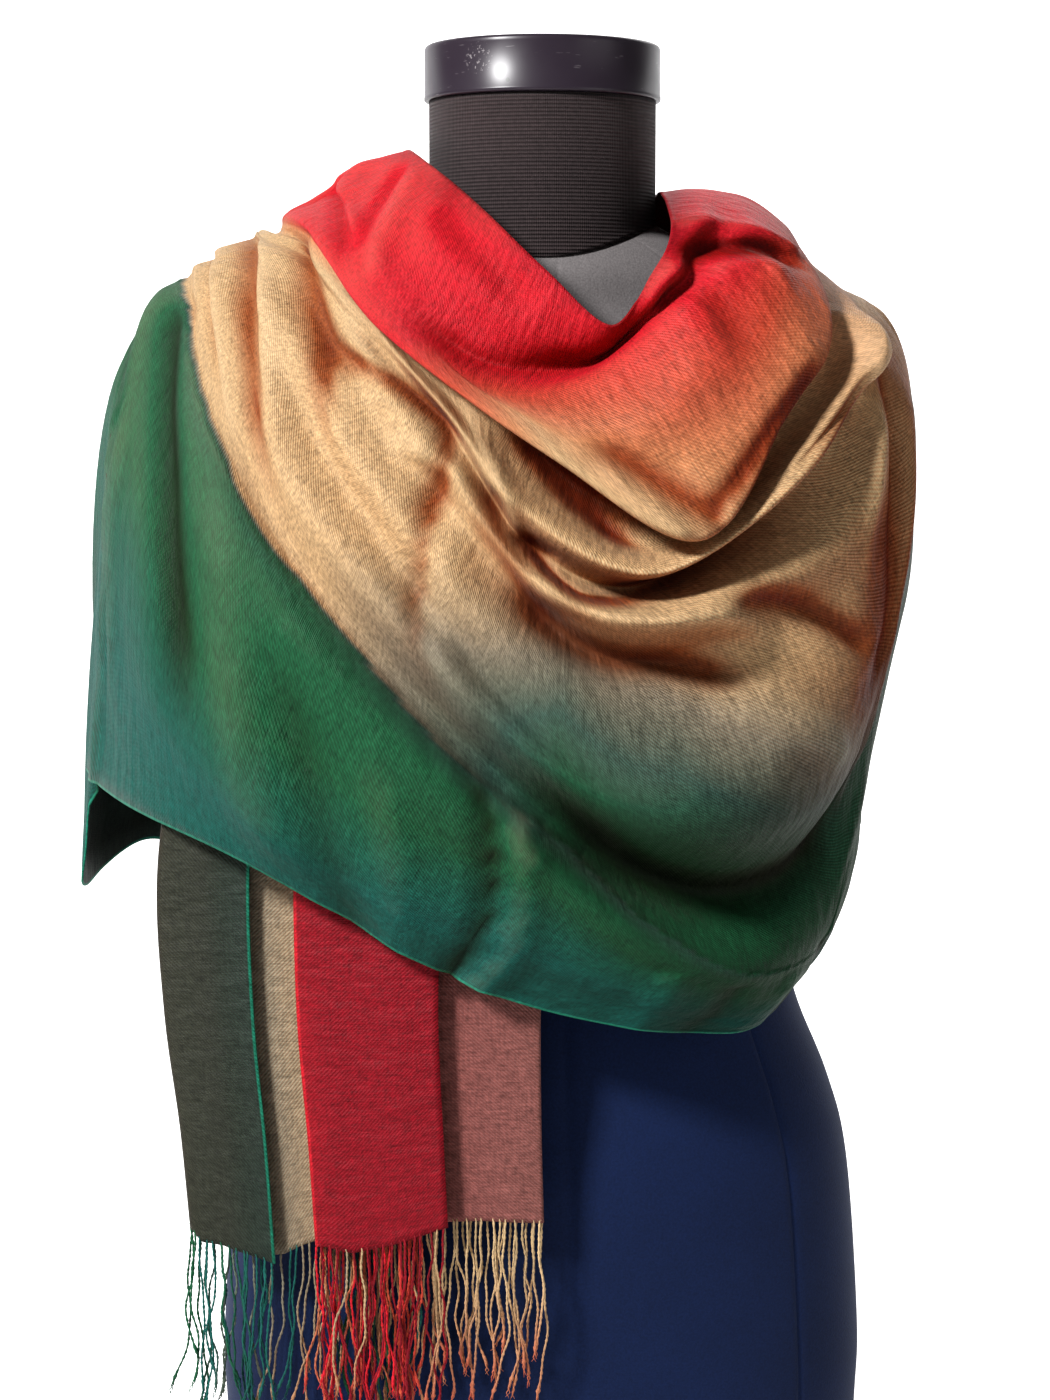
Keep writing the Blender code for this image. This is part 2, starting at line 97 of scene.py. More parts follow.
# The folds from the neck selvedge down to the teal hem: (x, z) stations from the right shoulder
# to the left one, which are those of the part's source, and how far each stands off the outline
# at the right, lowest and left stations, most of them further than in the source
Fold = namedtuple(
    "Fold",
    "name right_top right_upper right_mid low left_mid left_upper left_top "
    "out_right out_low out_left",
)
FRONT_FOLDS = rows_of(Fold, [
    ("neck edge", (60.4, 742), (62, 716), (52, 696), (34, 672), (1, 699), (-36, 735), (-70, 764),
     0, -6, 0),
    ("band slope", (77, 744), (76, 718), (60, 694), (32, 661), (-9, 676), (-51, 717), (-89, 759),
     1, -13, 3),
    ("cowl valley", (92, 743), (86, 713), (67, 690), (28, 653), (-19, 655), (-63, 697), (-103, 752),
     -6, -21, 2),
    ("cowl crest", (108, 739), (98, 708), (76, 684), (23, 642), (-28, 641), (-71, 687), (-110, 745),
     8, 6, 5),
    ("cowl face", (127, 725), (116, 693), (97, 650), (46, 608), (-14, 630), (-77, 678), (-120, 739),
     14, 15, 6),
    ("roll edge", (135, 714), (136, 666), (110, 626), (69, 571), (5, 608), (-79, 671), (-130, 733),
     17, 18, 6),
    ("roll recess", (141, 706), (134, 661), (104, 621), (64, 580), (0, 612), (-71, 665), (-131, 726),
     -14, -22, -4),
    ("pocket wall", (147, 700), (146, 655), (112, 610), (58, 566), (-6, 599), (-65, 655), (-135, 721),
     -12, -20, -4),
    ("pocket lip", (154, 694), (161, 653), (122, 602), (53, 555), (-9, 584), (-55, 640), (-140, 723),
     14, 10, 3),
    ("pocket floor", (162, 690), (163, 636), (127, 588), (51, 546), (-9, 568), (-53, 629), (-144, 721),
     -17, -26, -5),
    ("second lip", (171, 686), (172, 620), (141, 565), (55, 534), (-5, 552), (-57, 618), (-149, 722),
     -3, 10, 4),
    ("lip shadow", (180, 679), (179, 596), (149, 541), (64, 514), (3, 531), (-67, 608), (-154, 719),
     -4, -12, -4),
    ("chest slope", (188, 664), (183, 570), (158, 511), (74, 489), (2, 506), (-83, 600), (-159, 717),
     3, -1, 5),
    ("chest crown", (194, 640), (178, 530), (156, 484), (80, 455), (0, 481), (-98, 595), (-167, 713),
     5, 8, -6),
    ("chest roll", (197, 606), (171, 492), (149, 450), (83, 427), (4, 461), (-111, 584), (-174, 708),
     4, 11, 6),
    ("belly valley", (194, 545), (163, 450), (141, 407), (81, 397), (6, 433), (-122, 563), (-181, 703),
     -8, -20, -6),
    ("crossing pleat", (181, 480), (157, 408), (138, 368), (84, 362), (6, 411), (-127, 542), (-189, 697),
     1, 4, 7),
    ("hem slope", (173, 440), (152, 383), (132, 349), (77, 350), (-6, 392), (-145, 511), (-206, 682),
     2, 4, 3),
    ("hem swell", (169, 408), (146, 360), (124, 335), (67, 339), (-21, 374), (-156, 462), (-228, 620),
     1, 3, 6),
    ("teal hem", (163, 379), (137, 342), (110, 322), (52, 328), (-36, 353), (-153, 415), (-243, 439),
     0, 0, 0),
])

# The swags across the back: the front fold that each carries on, and its (x, z) stations
Swag = namedtuple("Swag", "name carries_on right middle left out")
BACK_SWAGS = rows_of(Swag, [
    ("nape edge", "neck edge", (52, 736), (0, 728), (-50, 728), 0),
    ("nape roll", "cowl crest", (98, 716), (0, 697), (-88, 716), 5),
    ("first valley", "pocket wall", (124, 673), (4, 655), (-104, 697), -6),
    ("first swag", "second lip", (140, 628), (8, 612), (-113, 672), 7),
    ("second valley", "chest crown", (150, 585), (10, 568), (-117, 642), -6),
    ("second swag", "chest roll", (152, 544), (12, 526), (-118, 610), 7),
    ("third valley", "belly valley", (150, 498), (14, 482), (-116, 576), -5),
    ("third swag", "crossing pleat", (147, 447), (17, 440), (-113, 543), 6),
    ("hem valley", "hem swell", (142, 404), (22, 402), (-110, 512), -3),
    ("back hem", "teal hem", (136, 374), (26, 374), (-107, 484), 1),
])

# The share of a swag's depth at its two ends, how far the back goes in under the front before the
# left shoulder, and the (x, z) line where it turns into the tail, in mm
SWAG_SIDES = 0.7
UNDERLAP = 9
UNDER_SHOULDER = [(-74, 734), (-96, 728), (-124, 717), (-152, 704), (-178, 689), (-196, 674)]

# The hanging end behind the left shoulder: its lower corners, how far it stands off the outline,
# how deep its pleats are, the powers of its length that its x, its z and its pleats follow, how
# fast it leaves the seam, how its mesh crowds towards it, and the corner that shows behind the arm
END_RED_CORNER = (-56, 326)
END_TEAL_CORNER = (-182, 336)
END_STAND_OFF = 19
END_PLEAT = 8
END_X_POWER, END_Z_POWER, END_PLEAT_POWER = 1.3, 1.25, 1.2
END_LEAVES = 4
END_CROWDS = 1.3
CORNER_FLARE = {"hem slope": 4, "hem swell": 17, "teal hem": 4}
CORNER_DROP = 62
CORNER_PLACE = 0.12

# Where each fold lies in the dye's run from red (0) to teal (19): at the right, in the middle and
# at the left, where pleats hide part of the run. The pleat edge hides a last bit between "belly
# valley above" and "crossing pleat below".
Dye = namedtuple("Dye", "fold right low left")
DYES_ABOVE = rows_of(Dye, [
    (0, 1.3, 1.3, 1.2),
    (1, 1.9, 2.1, 1.8),
    (2, 2.8, 2.9, 2.3),
    (3, 4.4, 5.4, 2.7),
    (4, 6.6, 8.0, 3.1),
    (5, 8.2, 9.3, 3.6),
    (6, 8.6, 9.5, 7.6),
    (7, 8.8, 9.6, 8.9),
    (8, 9.0, 9.9, 9.6),
    (9, 9.3, 10.2, 10.0),
    (10, 9.7, 11.2, 10.2),
    (11, 10.8, 12.4, 10.4),
    (12, 12.3, 13.6, 10.6),
    (13, 13.9, 14.9, 10.9),
    (14, 15.3, 15.8, 11.2),
    (15, 16.2, 16.3, 11.4),
    (15.6, 16.4, 16.4, 11.6),
])
DYES_BELOW = rows_of(Dye, [
    (15.6, 15.5, 14.8, 15.5),
    (16.4, 16.5, 17.0, 16.2),
    (17.2, 17.3, 17.9, 16.8),
    (18, 18.1, 18.5, 17.8),
    (19, 19.0, 19.0, 19.0),
])
LAST_DYE = 19
DYE_PLACES = [(-1, 1.4, 2.2, 3.2), (2.2, 3.2, 3.9, 4.9), (3.9, 4.9, 6.0, 7.5)]

# Columns of mesh from one station to the next, and down the hanging end
STATION_STEPS = 20
END_STEPS = 70

# Where the pleat edge runs over the front: the fold number at each place along
PLEAT_EDGE = [
    (1.2, 16.9), (2.0, 16.6), (2.65, 16.3), (3.1, 16.0), (3.35, 15.8), (3.55, 15.7), (3.75, 15.5),
    (3.95, 15.3), (4.15, 15.35), (4.35, 15.5), (4.5, 15.45), (4.7, 15.3), (4.95, 15.25), (5.15, 15.5),
    (5.31, 15.7), (5.51, 15.95), (5.64, 16.05), (5.84, 16.15), (6.0, 15.9), (6.6, 15.6), (10.0, 15.6),
]
PLEAT_FOLD = 15.6

# Creases laid over the folds: how high each stands (valleys are negative) and how wide it is, in
# mm, how much painted light it lays on the colour (painted shade, browner, where negative, and
# painted highlight, paler, where positive), and its way as (fold number, place along). Places run
# from -4 at the left shoulder round the back to 0 at the right one, over the front to 6 at the
# left one, and down the hanging end to 10.
Crease = namedtuple("Crease", "name height width tone path")
CREASES = rows_of(Crease, [
    ("red shoulder crease", -4.5, 4, -0.6, [(0.1, 5.84), (1.3, 5.6), (2.6, 5.48), (3.9, 5.38)]),
    ("red shoulder ridge", 3.2, 6, 0.3, [(0.1, 5.68), (1.3, 5.42), (2.6, 5.28), (3.9, 5.15)]),
    ("band bulge", 6, 7, 0.1, [(0.6, 5.99), (1.4, 5.93), (2.1, 5.84), (2.7, 5.68)]),
    ("flap valley", -5.5, 4.5, -0.6, [(2.8, 6), (3.3, 5.84), (3.7, 5.62), (4, 5.35)]),
    ("band hollow", -3, 9, -0.3, [(0.5, 5.2), (0.7, 4.9), (0.7, 4.4), (0.8, 3.9)]),
    ("band ridge", 2.2, 6, 0.2, [(4.2, 5.4), (4.2, 5.1), (4.1, 4.8), (4, 4.5)]),
    ("cowl valley", -8, 8, -0.6, [
        (3.4, 4.95), (2.7, 4.5), (2.3, 4.05), (2, 3.6), (1.6, 3.1), (1.3, 2.6), (1.2, 2)]),
    ("cowl billow", 5, 15, 0.2, [(3.9, 4.3), (3.8, 3.8), (3.7, 3.2), (3.6, 2.6), (3.5, 1.9)]),
    ("billow dent", -5, 10, -0.7, [(1.4, 2.35), (2, 2.1), (2.7, 1.95), (3.4, 1.9), (4, 1.95)]),
    ("shoulder pocket", -12, 7.5, -1.9, [
        (0.9, 1.85), (1.4, 1.55), (1.9, 1.25), (2.8, 1), (3.4, 0.78), (4.1, 0.62), (4.6, 0.55)]),
    ("over the pocket", 5, 6, 0.3, [(0.1, 0.9), (1, 0.72), (2.6, 0.6), (3.7, 0.5), (4.3, 0.4)]),
    ("billow crest", 6, 7, 0.4, [
        (0.3, 2.5), (0.7, 2.3), (1, 1.9), (2, 1.45), (2.8, 1.2), (3.3, 1), (3.8, 1), (4.4, 1.2)]),
    ("roll recess", -8, 6, -1.1, [
        (6.1, 1.3), (6.2, 1.7), (6.2, 2.2), (6.3, 2.9), (6.3, 3.6), (6.3, 4.3)]),
    ("second ridge", 9, 6.5, 0.5, [
        (7.6, 0.3), (7.5, 0.6), (7.5, 0.93), (7.5, 1.3), (7.5, 1.7), (7.5, 2.05), (7.6, 2.45)]),
    ("ridge shadow", -14, 12, -1.5, [
        (8.2, 0.8), (8.4, 1.1), (8.4, 1.45), (8.5, 1.75), (8.7, 2.1), (8.9, 2.4), (9.2, 2.75),
        (9.3, 3.05), (9.3, 3.5)]),
    ("pocket", -11, 8, -1.8, [
        (8.5, 4.1), (9.1, 4), (9.5, 3.8), (9.7, 3.55), (9.6, 3.3), (9.4, 2.9)]),
    ("second lip", 8, 6, 0.5, [
        (4.9, 4.6), (6.8, 4.45), (7.9, 4.2), (9.2, 4), (9.8, 3.8), (9.9, 3.4), (10, 3.05),
        (10.3, 2.7), (11, 2.5), (11.8, 2.4)]),
    ("under the lip", -10, 8, -1.2, [
        (10.6, 4.25), (11.1, 4), (11.2, 3.6), (11.2, 3.1), (11.5, 2.8), (11.9, 2.6)]),
    ("arm ridge", 4.5, 6, 0.4, [
        (7.7, 0.28), (7.9, 0.6), (8.7, 0.9), (9.7, 1), (10.3, 1.45), (11.5, 1.8)]),
    ("arm valley", -5.5, 6, -0.7, [
        (9.4, 0.35), (10.2, 0.6), (11, 0.9), (11.6, 1.3), (12.4, 1.75), (13, 2)]),
    ("second arm ridge", 4, 8, 0.3, [
        (10.8, 0.25), (11.8, 0.5), (12.5, 0.9), (13.2, 1.35), (13.8, 1.8)]),
    ("second arm valley", -4, 8, -0.4, [(12, 0.2), (13, 0.45), (13.8, 0.8), (14.4, 1.2)]),
    ("shoulder valley", -5.5, 8, -1.4, [
        (11.2, 6.3), (11.8, 5.98), (12.3, 5.87), (13, 5.75), (13.5, 5.64), (14, 5.46),
        (14.5, 5.31), (14.8, 5.1)]),
    ("second shoulder valley", -8, 9, -1.5, [
        (5.9, 6.2), (6.9, 5.84), (8.4, 5.78), (9.6, 5.72), (10.4, 5.64), (11.3, 5.46), (12, 5.31),
        (12.8, 5.1)]),
    ("narrow shoulder valley", -5, 4, -0.7, [
        (13.4, 6.3), (13.9, 6), (14.5, 5.88), (15.1, 5.74), (15.3, 5.5)]),
    ("shoulder ridge", 6, 6, 0.5, [
        (12.2, 6.5), (12.6, 6), (13.3, 5.91), (14.1, 5.78), (14.7, 5.6), (15, 5.41), (15, 5.2)]),
    ("second shoulder ridge", 8, 7.5, 0.8, [
        (7.4, 6.5), (8.2, 6), (9.8, 5.89), (11.2, 5.78), (12.5, 5.6), (13.3, 5.41), (13.8, 5.2)]),
    ("third shoulder ridge", 6, 7, 0.6, [
        (5.6, 6.4), (5.9, 5.95), (6.8, 5.72), (8.2, 5.55), (9.6, 5.36), (10.8, 5.15)]),
    ("dimple", -8, 6.5, -1.5, [
        (11.4, 5.5), (10.6, 5.38), (9.9, 5.28), (9.5, 5.19), (9.2, 5.06), (8.8, 4.9), (8.4, 4.7)]),
    ("dimple ridge", 5, 6, 0.5, [
        (11.2, 5.14), (10.7, 5.02), (10.2, 4.92), (9.8, 4.78), (9.4, 4.6)]),
    ("dimple fall", -4.5, 6, -0.7, [(8.8, 4.9), (9.8, 4.88), (11, 4.82), (12, 4.74)]),
    ("long crease", -4, 5, -0.8, [
        (9, 4.9), (10, 4.83), (11.3, 4.76), (12.4, 4.65), (13.6, 4.57), (15, 4.47)]),
    ("long ridge", 3, 7, 0.3, [(9.9, 4.66), (11.6, 4.6), (12.8, 4.5), (13.9, 4.4), (15, 4.3)]),
    ("billow", 6, 20, 0.2, [(12.6, 4.3), (12.9, 3.8), (13, 3.3), (13, 2.8), (13, 2.2)]),
    ("belly valley", -13, 12, -1, [
        (14.3, 4.2), (14.5, 3.9), (14.8, 3.6), (15, 3.25), (15.1, 2.9), (15.1, 2.45), (15, 2.05),
        (14.5, 1.85), (13.9, 1.7)]),
    ("flank fold", -4, 7, -0.5, [(12.3, 1.5), (13.6, 1.7), (14.6, 1.75), (15.8, 1.8)]),
    ("dart", -6, 4.5, -1, [
        (15.3, 4.36), (15.8, 4.28), (16.4, 4.22), (17.2, 4.14), (18.2, 4.08), (19, 4.1)]),
    ("dart ridge", 5, 6, 0.4, [
        (14.9, 4.2), (15.5, 4.15), (16.3, 4.1), (17.2, 4), (18.2, 3.93), (19, 3.95)]),
    ("hem ridge", 3.5, 9, 0.2, [(16.4, 4.6), (17.2, 4.45), (18.1, 4.35), (19, 4.3)]),
    ("hem hollow", -4, 10, -0.5, [(16.4, 4.95), (17.2, 4.72), (18.1, 4.58), (19, 4.5)]),
    ("flank ridge", 4, 12, 0.2, [(16.2, 5.4), (16.6, 5.15), (17.2, 4.98), (18, 4.85), (18.9, 4.7)]),
    ("flank edge", 4, 4, 0.4, [(17.4, 5.96), (17.9, 5.9), (18.3, 5.86), (18.7, 5.88), (19, 5.9)]),
    ("behind the edge", -5, 5, -0.8, [
        (17.4, 6.1), (17.9, 6.06), (18.3, 6.02), (18.7, 6.03), (19, 6.04)]),
    ("lower ridge", 3, 9, 0.2, [(16.6, 3.3), (17.3, 3.2), (18.2, 3.15), (19, 3.1)]),
    ("lower hollow", -3.5, 9, -0.3, [(16.6, 2.8), (17.3, 2.75), (18.2, 2.72), (19, 2.7)]),
    ("right hem ridge", 3, 8, 0.2, [(16.6, 2.2), (17.4, 2.2), (18.3, 2.25), (19, 2.3)]),
    ("right hem hollow", -3, 7, -0.3, [(16.5, 1.6), (17.3, 1.65), (18.2, 1.75), (19, 1.85)]),
    ("nape roll", 5, 9, 0.2, [(2.6, -0.6), (3, -1.4), (3.1, -2.2), (2.8, -3.1)]),
    ("nape valley", -5, 7, -0.6, [(5.2, -0.4), (5, -1.2), (4.9, -2), (4.8, -2.8), (4.9, -3.5)]),
    ("back swag", 5, 9, 0.3, [(8, -0.4), (8.9, -1.2), (9.1, -2), (8.7, -2.8), (8.2, -3.5)]),
    ("back swag valley", -7, 8, -0.8, [
        (10.6, -0.3), (11.4, -1.1), (11.6, -1.9), (11, -2.8), (10.4, -3.6)]),
    ("lower swag", 5, 11, 0.3, [(12.4, -0.5), (13.2, -1.3), (13.5, -2.2), (13.2, -3)]),
    ("lower swag valley", -6, 8, -0.7, [
        (14.4, -0.3), (15.1, -1), (15.3, -1.8), (15, -2.6), (14.4, -3.4)]),
    ("back hem ridge", 4, 9, 0.2, [(16.2, -0.9), (17.1, -1), (18.1, -1.1), (19, -1.15)]),
    ("back hem hollow", -4, 8, -0.4, [(16, -1.6), (17, -1.65), (18, -1.75), (19, -1.8)]),
    ("second back hem ridge", 3.5, 10, 0.2, [
        (16.4, -2.5), (17.2, -2.45), (18.2, -2.5), (19, -2.6)]),
    ("end pleat", 5, 8, 0.3, [(4.2, 6.5), (4.4, 7.3), (4.6, 8.4), (4.8, 10)]),
    ("end valley", -6, 8, -0.7, [(6.8, 6.3), (7, 7.2), (7.2, 8.4), (7.3, 10)]),
    ("second end pleat", 5, 9, 0.3, [(9.3, 6.4), (9.6, 7.4), (9.8, 8.6), (9.9, 10)]),
    ("second end valley", -6, 8, -0.7, [(12.2, 6.2), (12.3, 7.2), (12.6, 8.5), (12.6, 10)]),
    ("third end pleat", 4, 9, 0.3, [(15, 6.5), (15, 7.5), (15.2, 8.7), (15.3, 10)]),
    ("inner valley", -9, 8, -1.9, [
        (5.9, 4.35), (6.3, 4.05), (6.7, 3.75), (6.8, 3.5), (7, 3.3), (7, 3)]),
    ("outer shoulder ridge", 4, 5, 0.3, [(14.2, 6.4), (14.6, 6), (15, 5.9), (15.3, 5.8)]),
    ("left light", 3.5, 7, 0.4, [
        (16.6, 6), (17.2, 5.95), (17.8, 5.85), (18.3, 5.82), (18.9, 5.74)]),
    ("left dark", -7, 12, -1.3, [
        (16.2, 5.95), (16.6, 5.85), (17, 5.7), (17.3, 5.5), (17.7, 5.28), (18.3, 5.13)]),
    ("corner shade", -3, 12, -0.9, [(18.2, 6.15), (18.6, 6.6), (18.7, 7.2), (18.7, 8)]),
    ("corner roll", 3, 8, -0.7, [(18.9, 6.4), (18.95, 6.8), (18.95, 7.3), (18.9, 8)]),
    ("lip hollow", -8, 7, -1.1, [(9.9, 2.7), (10.4, 2.4), (11, 2.2), (11.6, 2.05), (12.2, 1.9)]),
    ("roll dent", -5, 8, -1.2, [(3.7, 3.4), (4.1, 3.1), (4.6, 2.85), (5, 2.7)]),
    ("roll dent ridge", 3, 5, 0.3, [(4.1, 3.5), (4.6, 3.25), (5, 3.05)]),
    ("billow shoulder", 4, 9, 0.7, [
        (11.9, 3), (12.2, 2.7), (12.7, 2.45), (13.3, 2.25), (13.8, 2.2)]),
    ("shoulder face", 6, 8, 1.2, [(6.8, 0.35), (7.1, 0.55), (7.5, 0.75), (7.8, 1), (8, 1.25)]),
    ("flank shade", -1, 16, -0.6, [(9, 0.1), (10.6, 0.3), (12.2, 0.5), (13.8, 0.7), (15, 0.9)]),
    ("billow shade", -5, 6, -1.4, [(4.9, 1.2), (4.9, 1.7), (4.8, 2.1), (4.7, 2.5), (4.7, 2.9)]),
    ("right shade", -2, 14, -0.9, [
        (10.6, 1.2), (11.2, 1.5), (11.9, 1.8), (12.7, 1.95), (13.4, 2.05)]),
    ("dart light", 1, 5, 0.6, [(15.2, 4.17), (15.7, 4.13), (16.3, 4.1)]),
    # Painted shade, browner, at the top of the left panel
    ("left brown", -1.5, 9, -0.9, [(16.4, 6.15), (17, 6.05), (17.5, 5.95), (17.9, 5.85)]),
    # Painted highlight, paler, on the tan face by the right shoulder
    ("right tan", 1.5, 8, 0.9, [(7.6, 0.85), (8, 1.15), (8.5, 1.4), (9, 1.6)]),
    ("middle shade", -2.5, 12, -0.7, [(8.4, 4.5), (9.6, 4.35), (10.8, 4.2), (11.8, 4.1)]),
])

# Points along each crease, how many folds and places beside it are looked at, the share of its
# length over which it rises at each end, and the range that the painted shade and painted
# highlight are held to
CREASE_STEPS = 160
CREASE_REACH = (2.2, 0.8)
CREASE_TAPER = 0.22
PAINTED_SHADING_RANGE = (-2, 1.2)

# The pleat edge: its strength at each part of its length, the places and the folds beside it,
# how high one layer stands and how far the other sinks, in mm, how far that reaches, and the
# painted highlight along the edge, the painted shade beside it on the tan side, and their width
PLEAT_STRENGTH = [(0, 0.12, 0.3, 0.9, 1), (0, 0.5, 1, 1, 0.4)]
PLEAT_PLACES = (1.2, 8)
PLEAT_FOLDS = (12.5, 18.8)
PLEAT_HEIGHT, PLEAT_HEIGHT_REACH = 3.4, 34
PLEAT_SINK, PLEAT_SINK_REACH = 1.2, 14
PLEAT_SHARPNESS = 0.6
PLEAT_PAINTED_HIGHLIGHT, PLEAT_SHADE, PLEAT_LINE_WIDTH = 0.6, 0.3, 2.5

# Painted light and shade by how the cloth turns: the direction, near the key light's, in which it
# is painted paler, and how much, from where on and over what span it is painted paler (painted
# highlight) and browner (painted shade)
KEY_PAINTED_LIGHT_SIDE = (-0.5, 0.6, 0.62)
KEY_PAINTED_HIGHLIGHT, KEY_PAINTED_HIGHLIGHT_FROM, KEY_PAINTED_HIGHLIGHT_SPAN = 0.4, 0.75, 0.25
KEY_PAINTED_SHADE, KEY_PAINTED_SHADE_FROM, KEY_PAINTED_SHADE_SPAN = 0.85, 0.6, 0.8

# The half width and half depth that the creases' direction goes by, in mm
DRAPE_HALVES = (205, 140)

# Small waves of the cloth: height, length and width in mm, slant, shift along and shift across
WAVES = [
    (1.1, 95, 26, 300, 3, 5),
    (0.55, 42, 12, 170, 9, 2),
    (0.22, 16, 7, 60, 0, 0),
]

# The tail's accordion, from the teal selvedge to the red one: where each layer starts and ends,
# how deep it lies and the dyes at its two ends
Layer = namedtuple("Layer", "name x_start x_end depth dye_start dye_end dye_bend")
TAIL_LAYERS = rows_of(Layer, [
    ("teal strip", -134, -178, -3.5, 19.0, 16.6, 1),
    ("wide back layer", -178, 0, 6.5, 16.5, 10.4, 0.4),
    ("mauve layer", 0, -112, 3.2, 10.2, 7.4, 1),
    ("inner pleat", -112, -60, 0.0, 7.2, 5.2, 1),
    ("inner return", -60, -113, -3.2, 5.0, 1.4, 1),
    ("red layer", -113, -47, -6.4, 0.9, 0.0, 1),
])
Drop = namedtuple("Drop", "z x y width lean")
TAIL_DROPS = rows_of(Drop, [
    (None, -124, 0, 0.47, 0.0),
    (None, -119, -48, 0.47, 0.5),
    (640, -112, -99, 0.5, 1.0),
    (560, -106, -124, 0.72, 1.0),
    (480, -99, -130, 0.93, 1.0),
    (400, -97, -132, 1.08, 1.0),
    (330, -96, -134, 1.06, 1.0),
    (270, -92, -135, 1.02, 1.0),
    (217, -89, -136, 1.0, 1.0),
])

# The tail's middle in x, how far its panels bow to the back at their sides, the rows of mesh to
# each drop, how far the second layer starts behind the first, the layers' waves, from which drop
# on the hem's lift sets in, and how the tail lies on the shoulder; in mm
TAIL_MIDDLE = -89
TAIL_BOW, TAIL_BOW_REACH = 34, 190
TAIL_STEPS = 14
FIRST_TURN = 4.5
LAYER_WAVE, LAYER_WAVES = 0.5, 1.7
HEM_LIFT_FROM, HEM_LIFT_SPAN = 5.6, 2.4
SHOULDER_FALL = 0.22
STACK_UNDER_SHOULDER = 8

# How far the tail's hem is lifted at each x, in mm
HEM_LIFTS = [(-180, 6), (-172, -3), (-160, -4), (-134, -11), (-125, -5), (-110, 1), (-95, -2), (-75, 3),
             (-48, 13), (-30, 14), (0, 13)]

# The dress form, in mm, as the part's source has it
FormRing = namedtuple("FormRing", "z half_width front back rise")
BODY_RINGS = rows_of(FormRing, [
    (0, 166, 112, 108, 0),
    (95, 171, 115, 112, 0),
    (140, 172, 115, 113, 0),
    (230, 165, 111, 108, 0),
    (274, 154, 104, 100, 0),
    (319, 136, 95, 90, 0),
    (370, 125, 88, 84, 0),
    (420, 130, 93, 88, 0),
    (452, 136, 99, 92, 0),
])
CHEST_RINGS = rows_of(FormRing, [
    (452, 136, 99, 92, 0),
    (500, 144, 107, 97, 0),
    (560, 148, 106, 100, 0),
    (610, 156, 94, 96, 0),
    (645, 161, 80, 88, 2),
    (664, 153, 69, 77, 3),
    (681, 127, 62, 69, 7),
    (693, 97, 60, 63, 11),
])
FORM_ROUNDNESS = 2.35
FORM_TURN = math.radians(7)
NECK_RADIUS = 59
CAP_RADIUS = 61.5
CAP_BOTTOM = 789
NECK_HEM_FRONT = 707
NECK_HEM_RISE = 19


# Sizes and colours that a user would change


def amount(name, description, default, **more):
    return FloatProperty(name=name, description=description, default=default, **more)


def length(name, description, default):
    return amount(name, description, default, unit="LENGTH", precision=5)


def colour(name, description, default):
    return FloatVectorProperty(
        name=name, description=description, default=default, subtype="COLOR", min=0, max=1
    )


class StoleSettings(bpy.types.PropertyGroup):
    wall: length("Cloth thickness", "Thickness of the woven cloth", 0.0008)
    selvedge: length("Selvedge thickness", "Thickness of the two woven edges", 0.0013)
    twill_pitch: length("Twill pitch", "Distance from one twill rib to the next", 0.0016)
    row_steps: IntProperty(
        name="Row steps", description="Rows of mesh from one fold to the next", default=13, min=2
    )
    red: colour("Red", "Dye at the neck selvedge", (0.25, 0.004, 0.015))
    scarlet: colour("Scarlet", "Dye of the cowl's inside", (0.60, 0.016, 0.032))
    coral: colour("Coral", "Dye of the cowl's face", (0.52, 0.085, 0.045))
    amber: colour("Amber", "Dye where the red turns to gold", (0.55, 0.25, 0.12))
    gold: colour("Gold", "Dye of the chest", (0.57, 0.41, 0.23))
    stone: colour("Stone", "Dye where the gold turns grey", (0.24, 0.22, 0.165))
    sage: colour("Sage", "Dye where the grey turns green", (0.045, 0.105, 0.085))
    green: colour("Green", "Dye above the hem", (0.013, 0.105, 0.046))
    teal: colour("Teal", "Dye of the hem", (0.008, 0.105, 0.088))
    hem: colour("Hem", "Bright line of the teal selvedge", (0.020, 0.25, 0.16))
    hem_line: length("Hem line", "Width of the bright line along the teal selvedge", 0.0013)


class FringeSettings(bpy.types.PropertyGroup):
    spacing: length("Strand spacing", "Distance between two strands along the hem", 0.0040)
    thickness: length("Strand thickness", "Width across a twisted strand", 0.00145)
    longest: length("Longest strand", "Length of the longest strand", 0.101)
    shortest: length("Shortest strand", "Length of the shortest strand", 0.066)
    twist: length("Twist", "Length of one full turn of the two plies", 0.0066)


class FormSettings(bpy.types.PropertyGroup):
    rib_pitch: length("Rib pitch", "Distance between two ribs of the neck sleeve", 0.0019)
    cap: colour("Cap", "Plastic of the neck cap", (0.034, 0.025, 0.036))
    knit: colour("Knit", "Yarn of the neck sleeve", (0.042, 0.029, 0.030))
    chest: colour("Chest", "Cloth of the chest", (0.19, 0.175, 0.175))
    body: colour("Body", "Cloth of the body", (0.0065, 0.018, 0.068))


class StageSettings(bpy.types.PropertyGroup):
    floor: colour("Floor", "Floor and backdrop", (0.88, 0.88, 0.88))
    key: amount("Key light", "Power of the key light", 74, unit="POWER")
    fill: amount("Fill light", "Power of the fill light", 4.5, unit="POWER")
    rim: amount("Rim light", "Power of the rim light", 5, unit="POWER")
    world: amount("World", "Strength of the light from all round", 0.06)
    glow: amount("Backdrop glow", "Light of the white backdrop", 0.85)
    camera_lens: amount("Focal length", "Focal length of the camera", 72.13, unit="CAMERA")


# Curves and surfaces, in mm


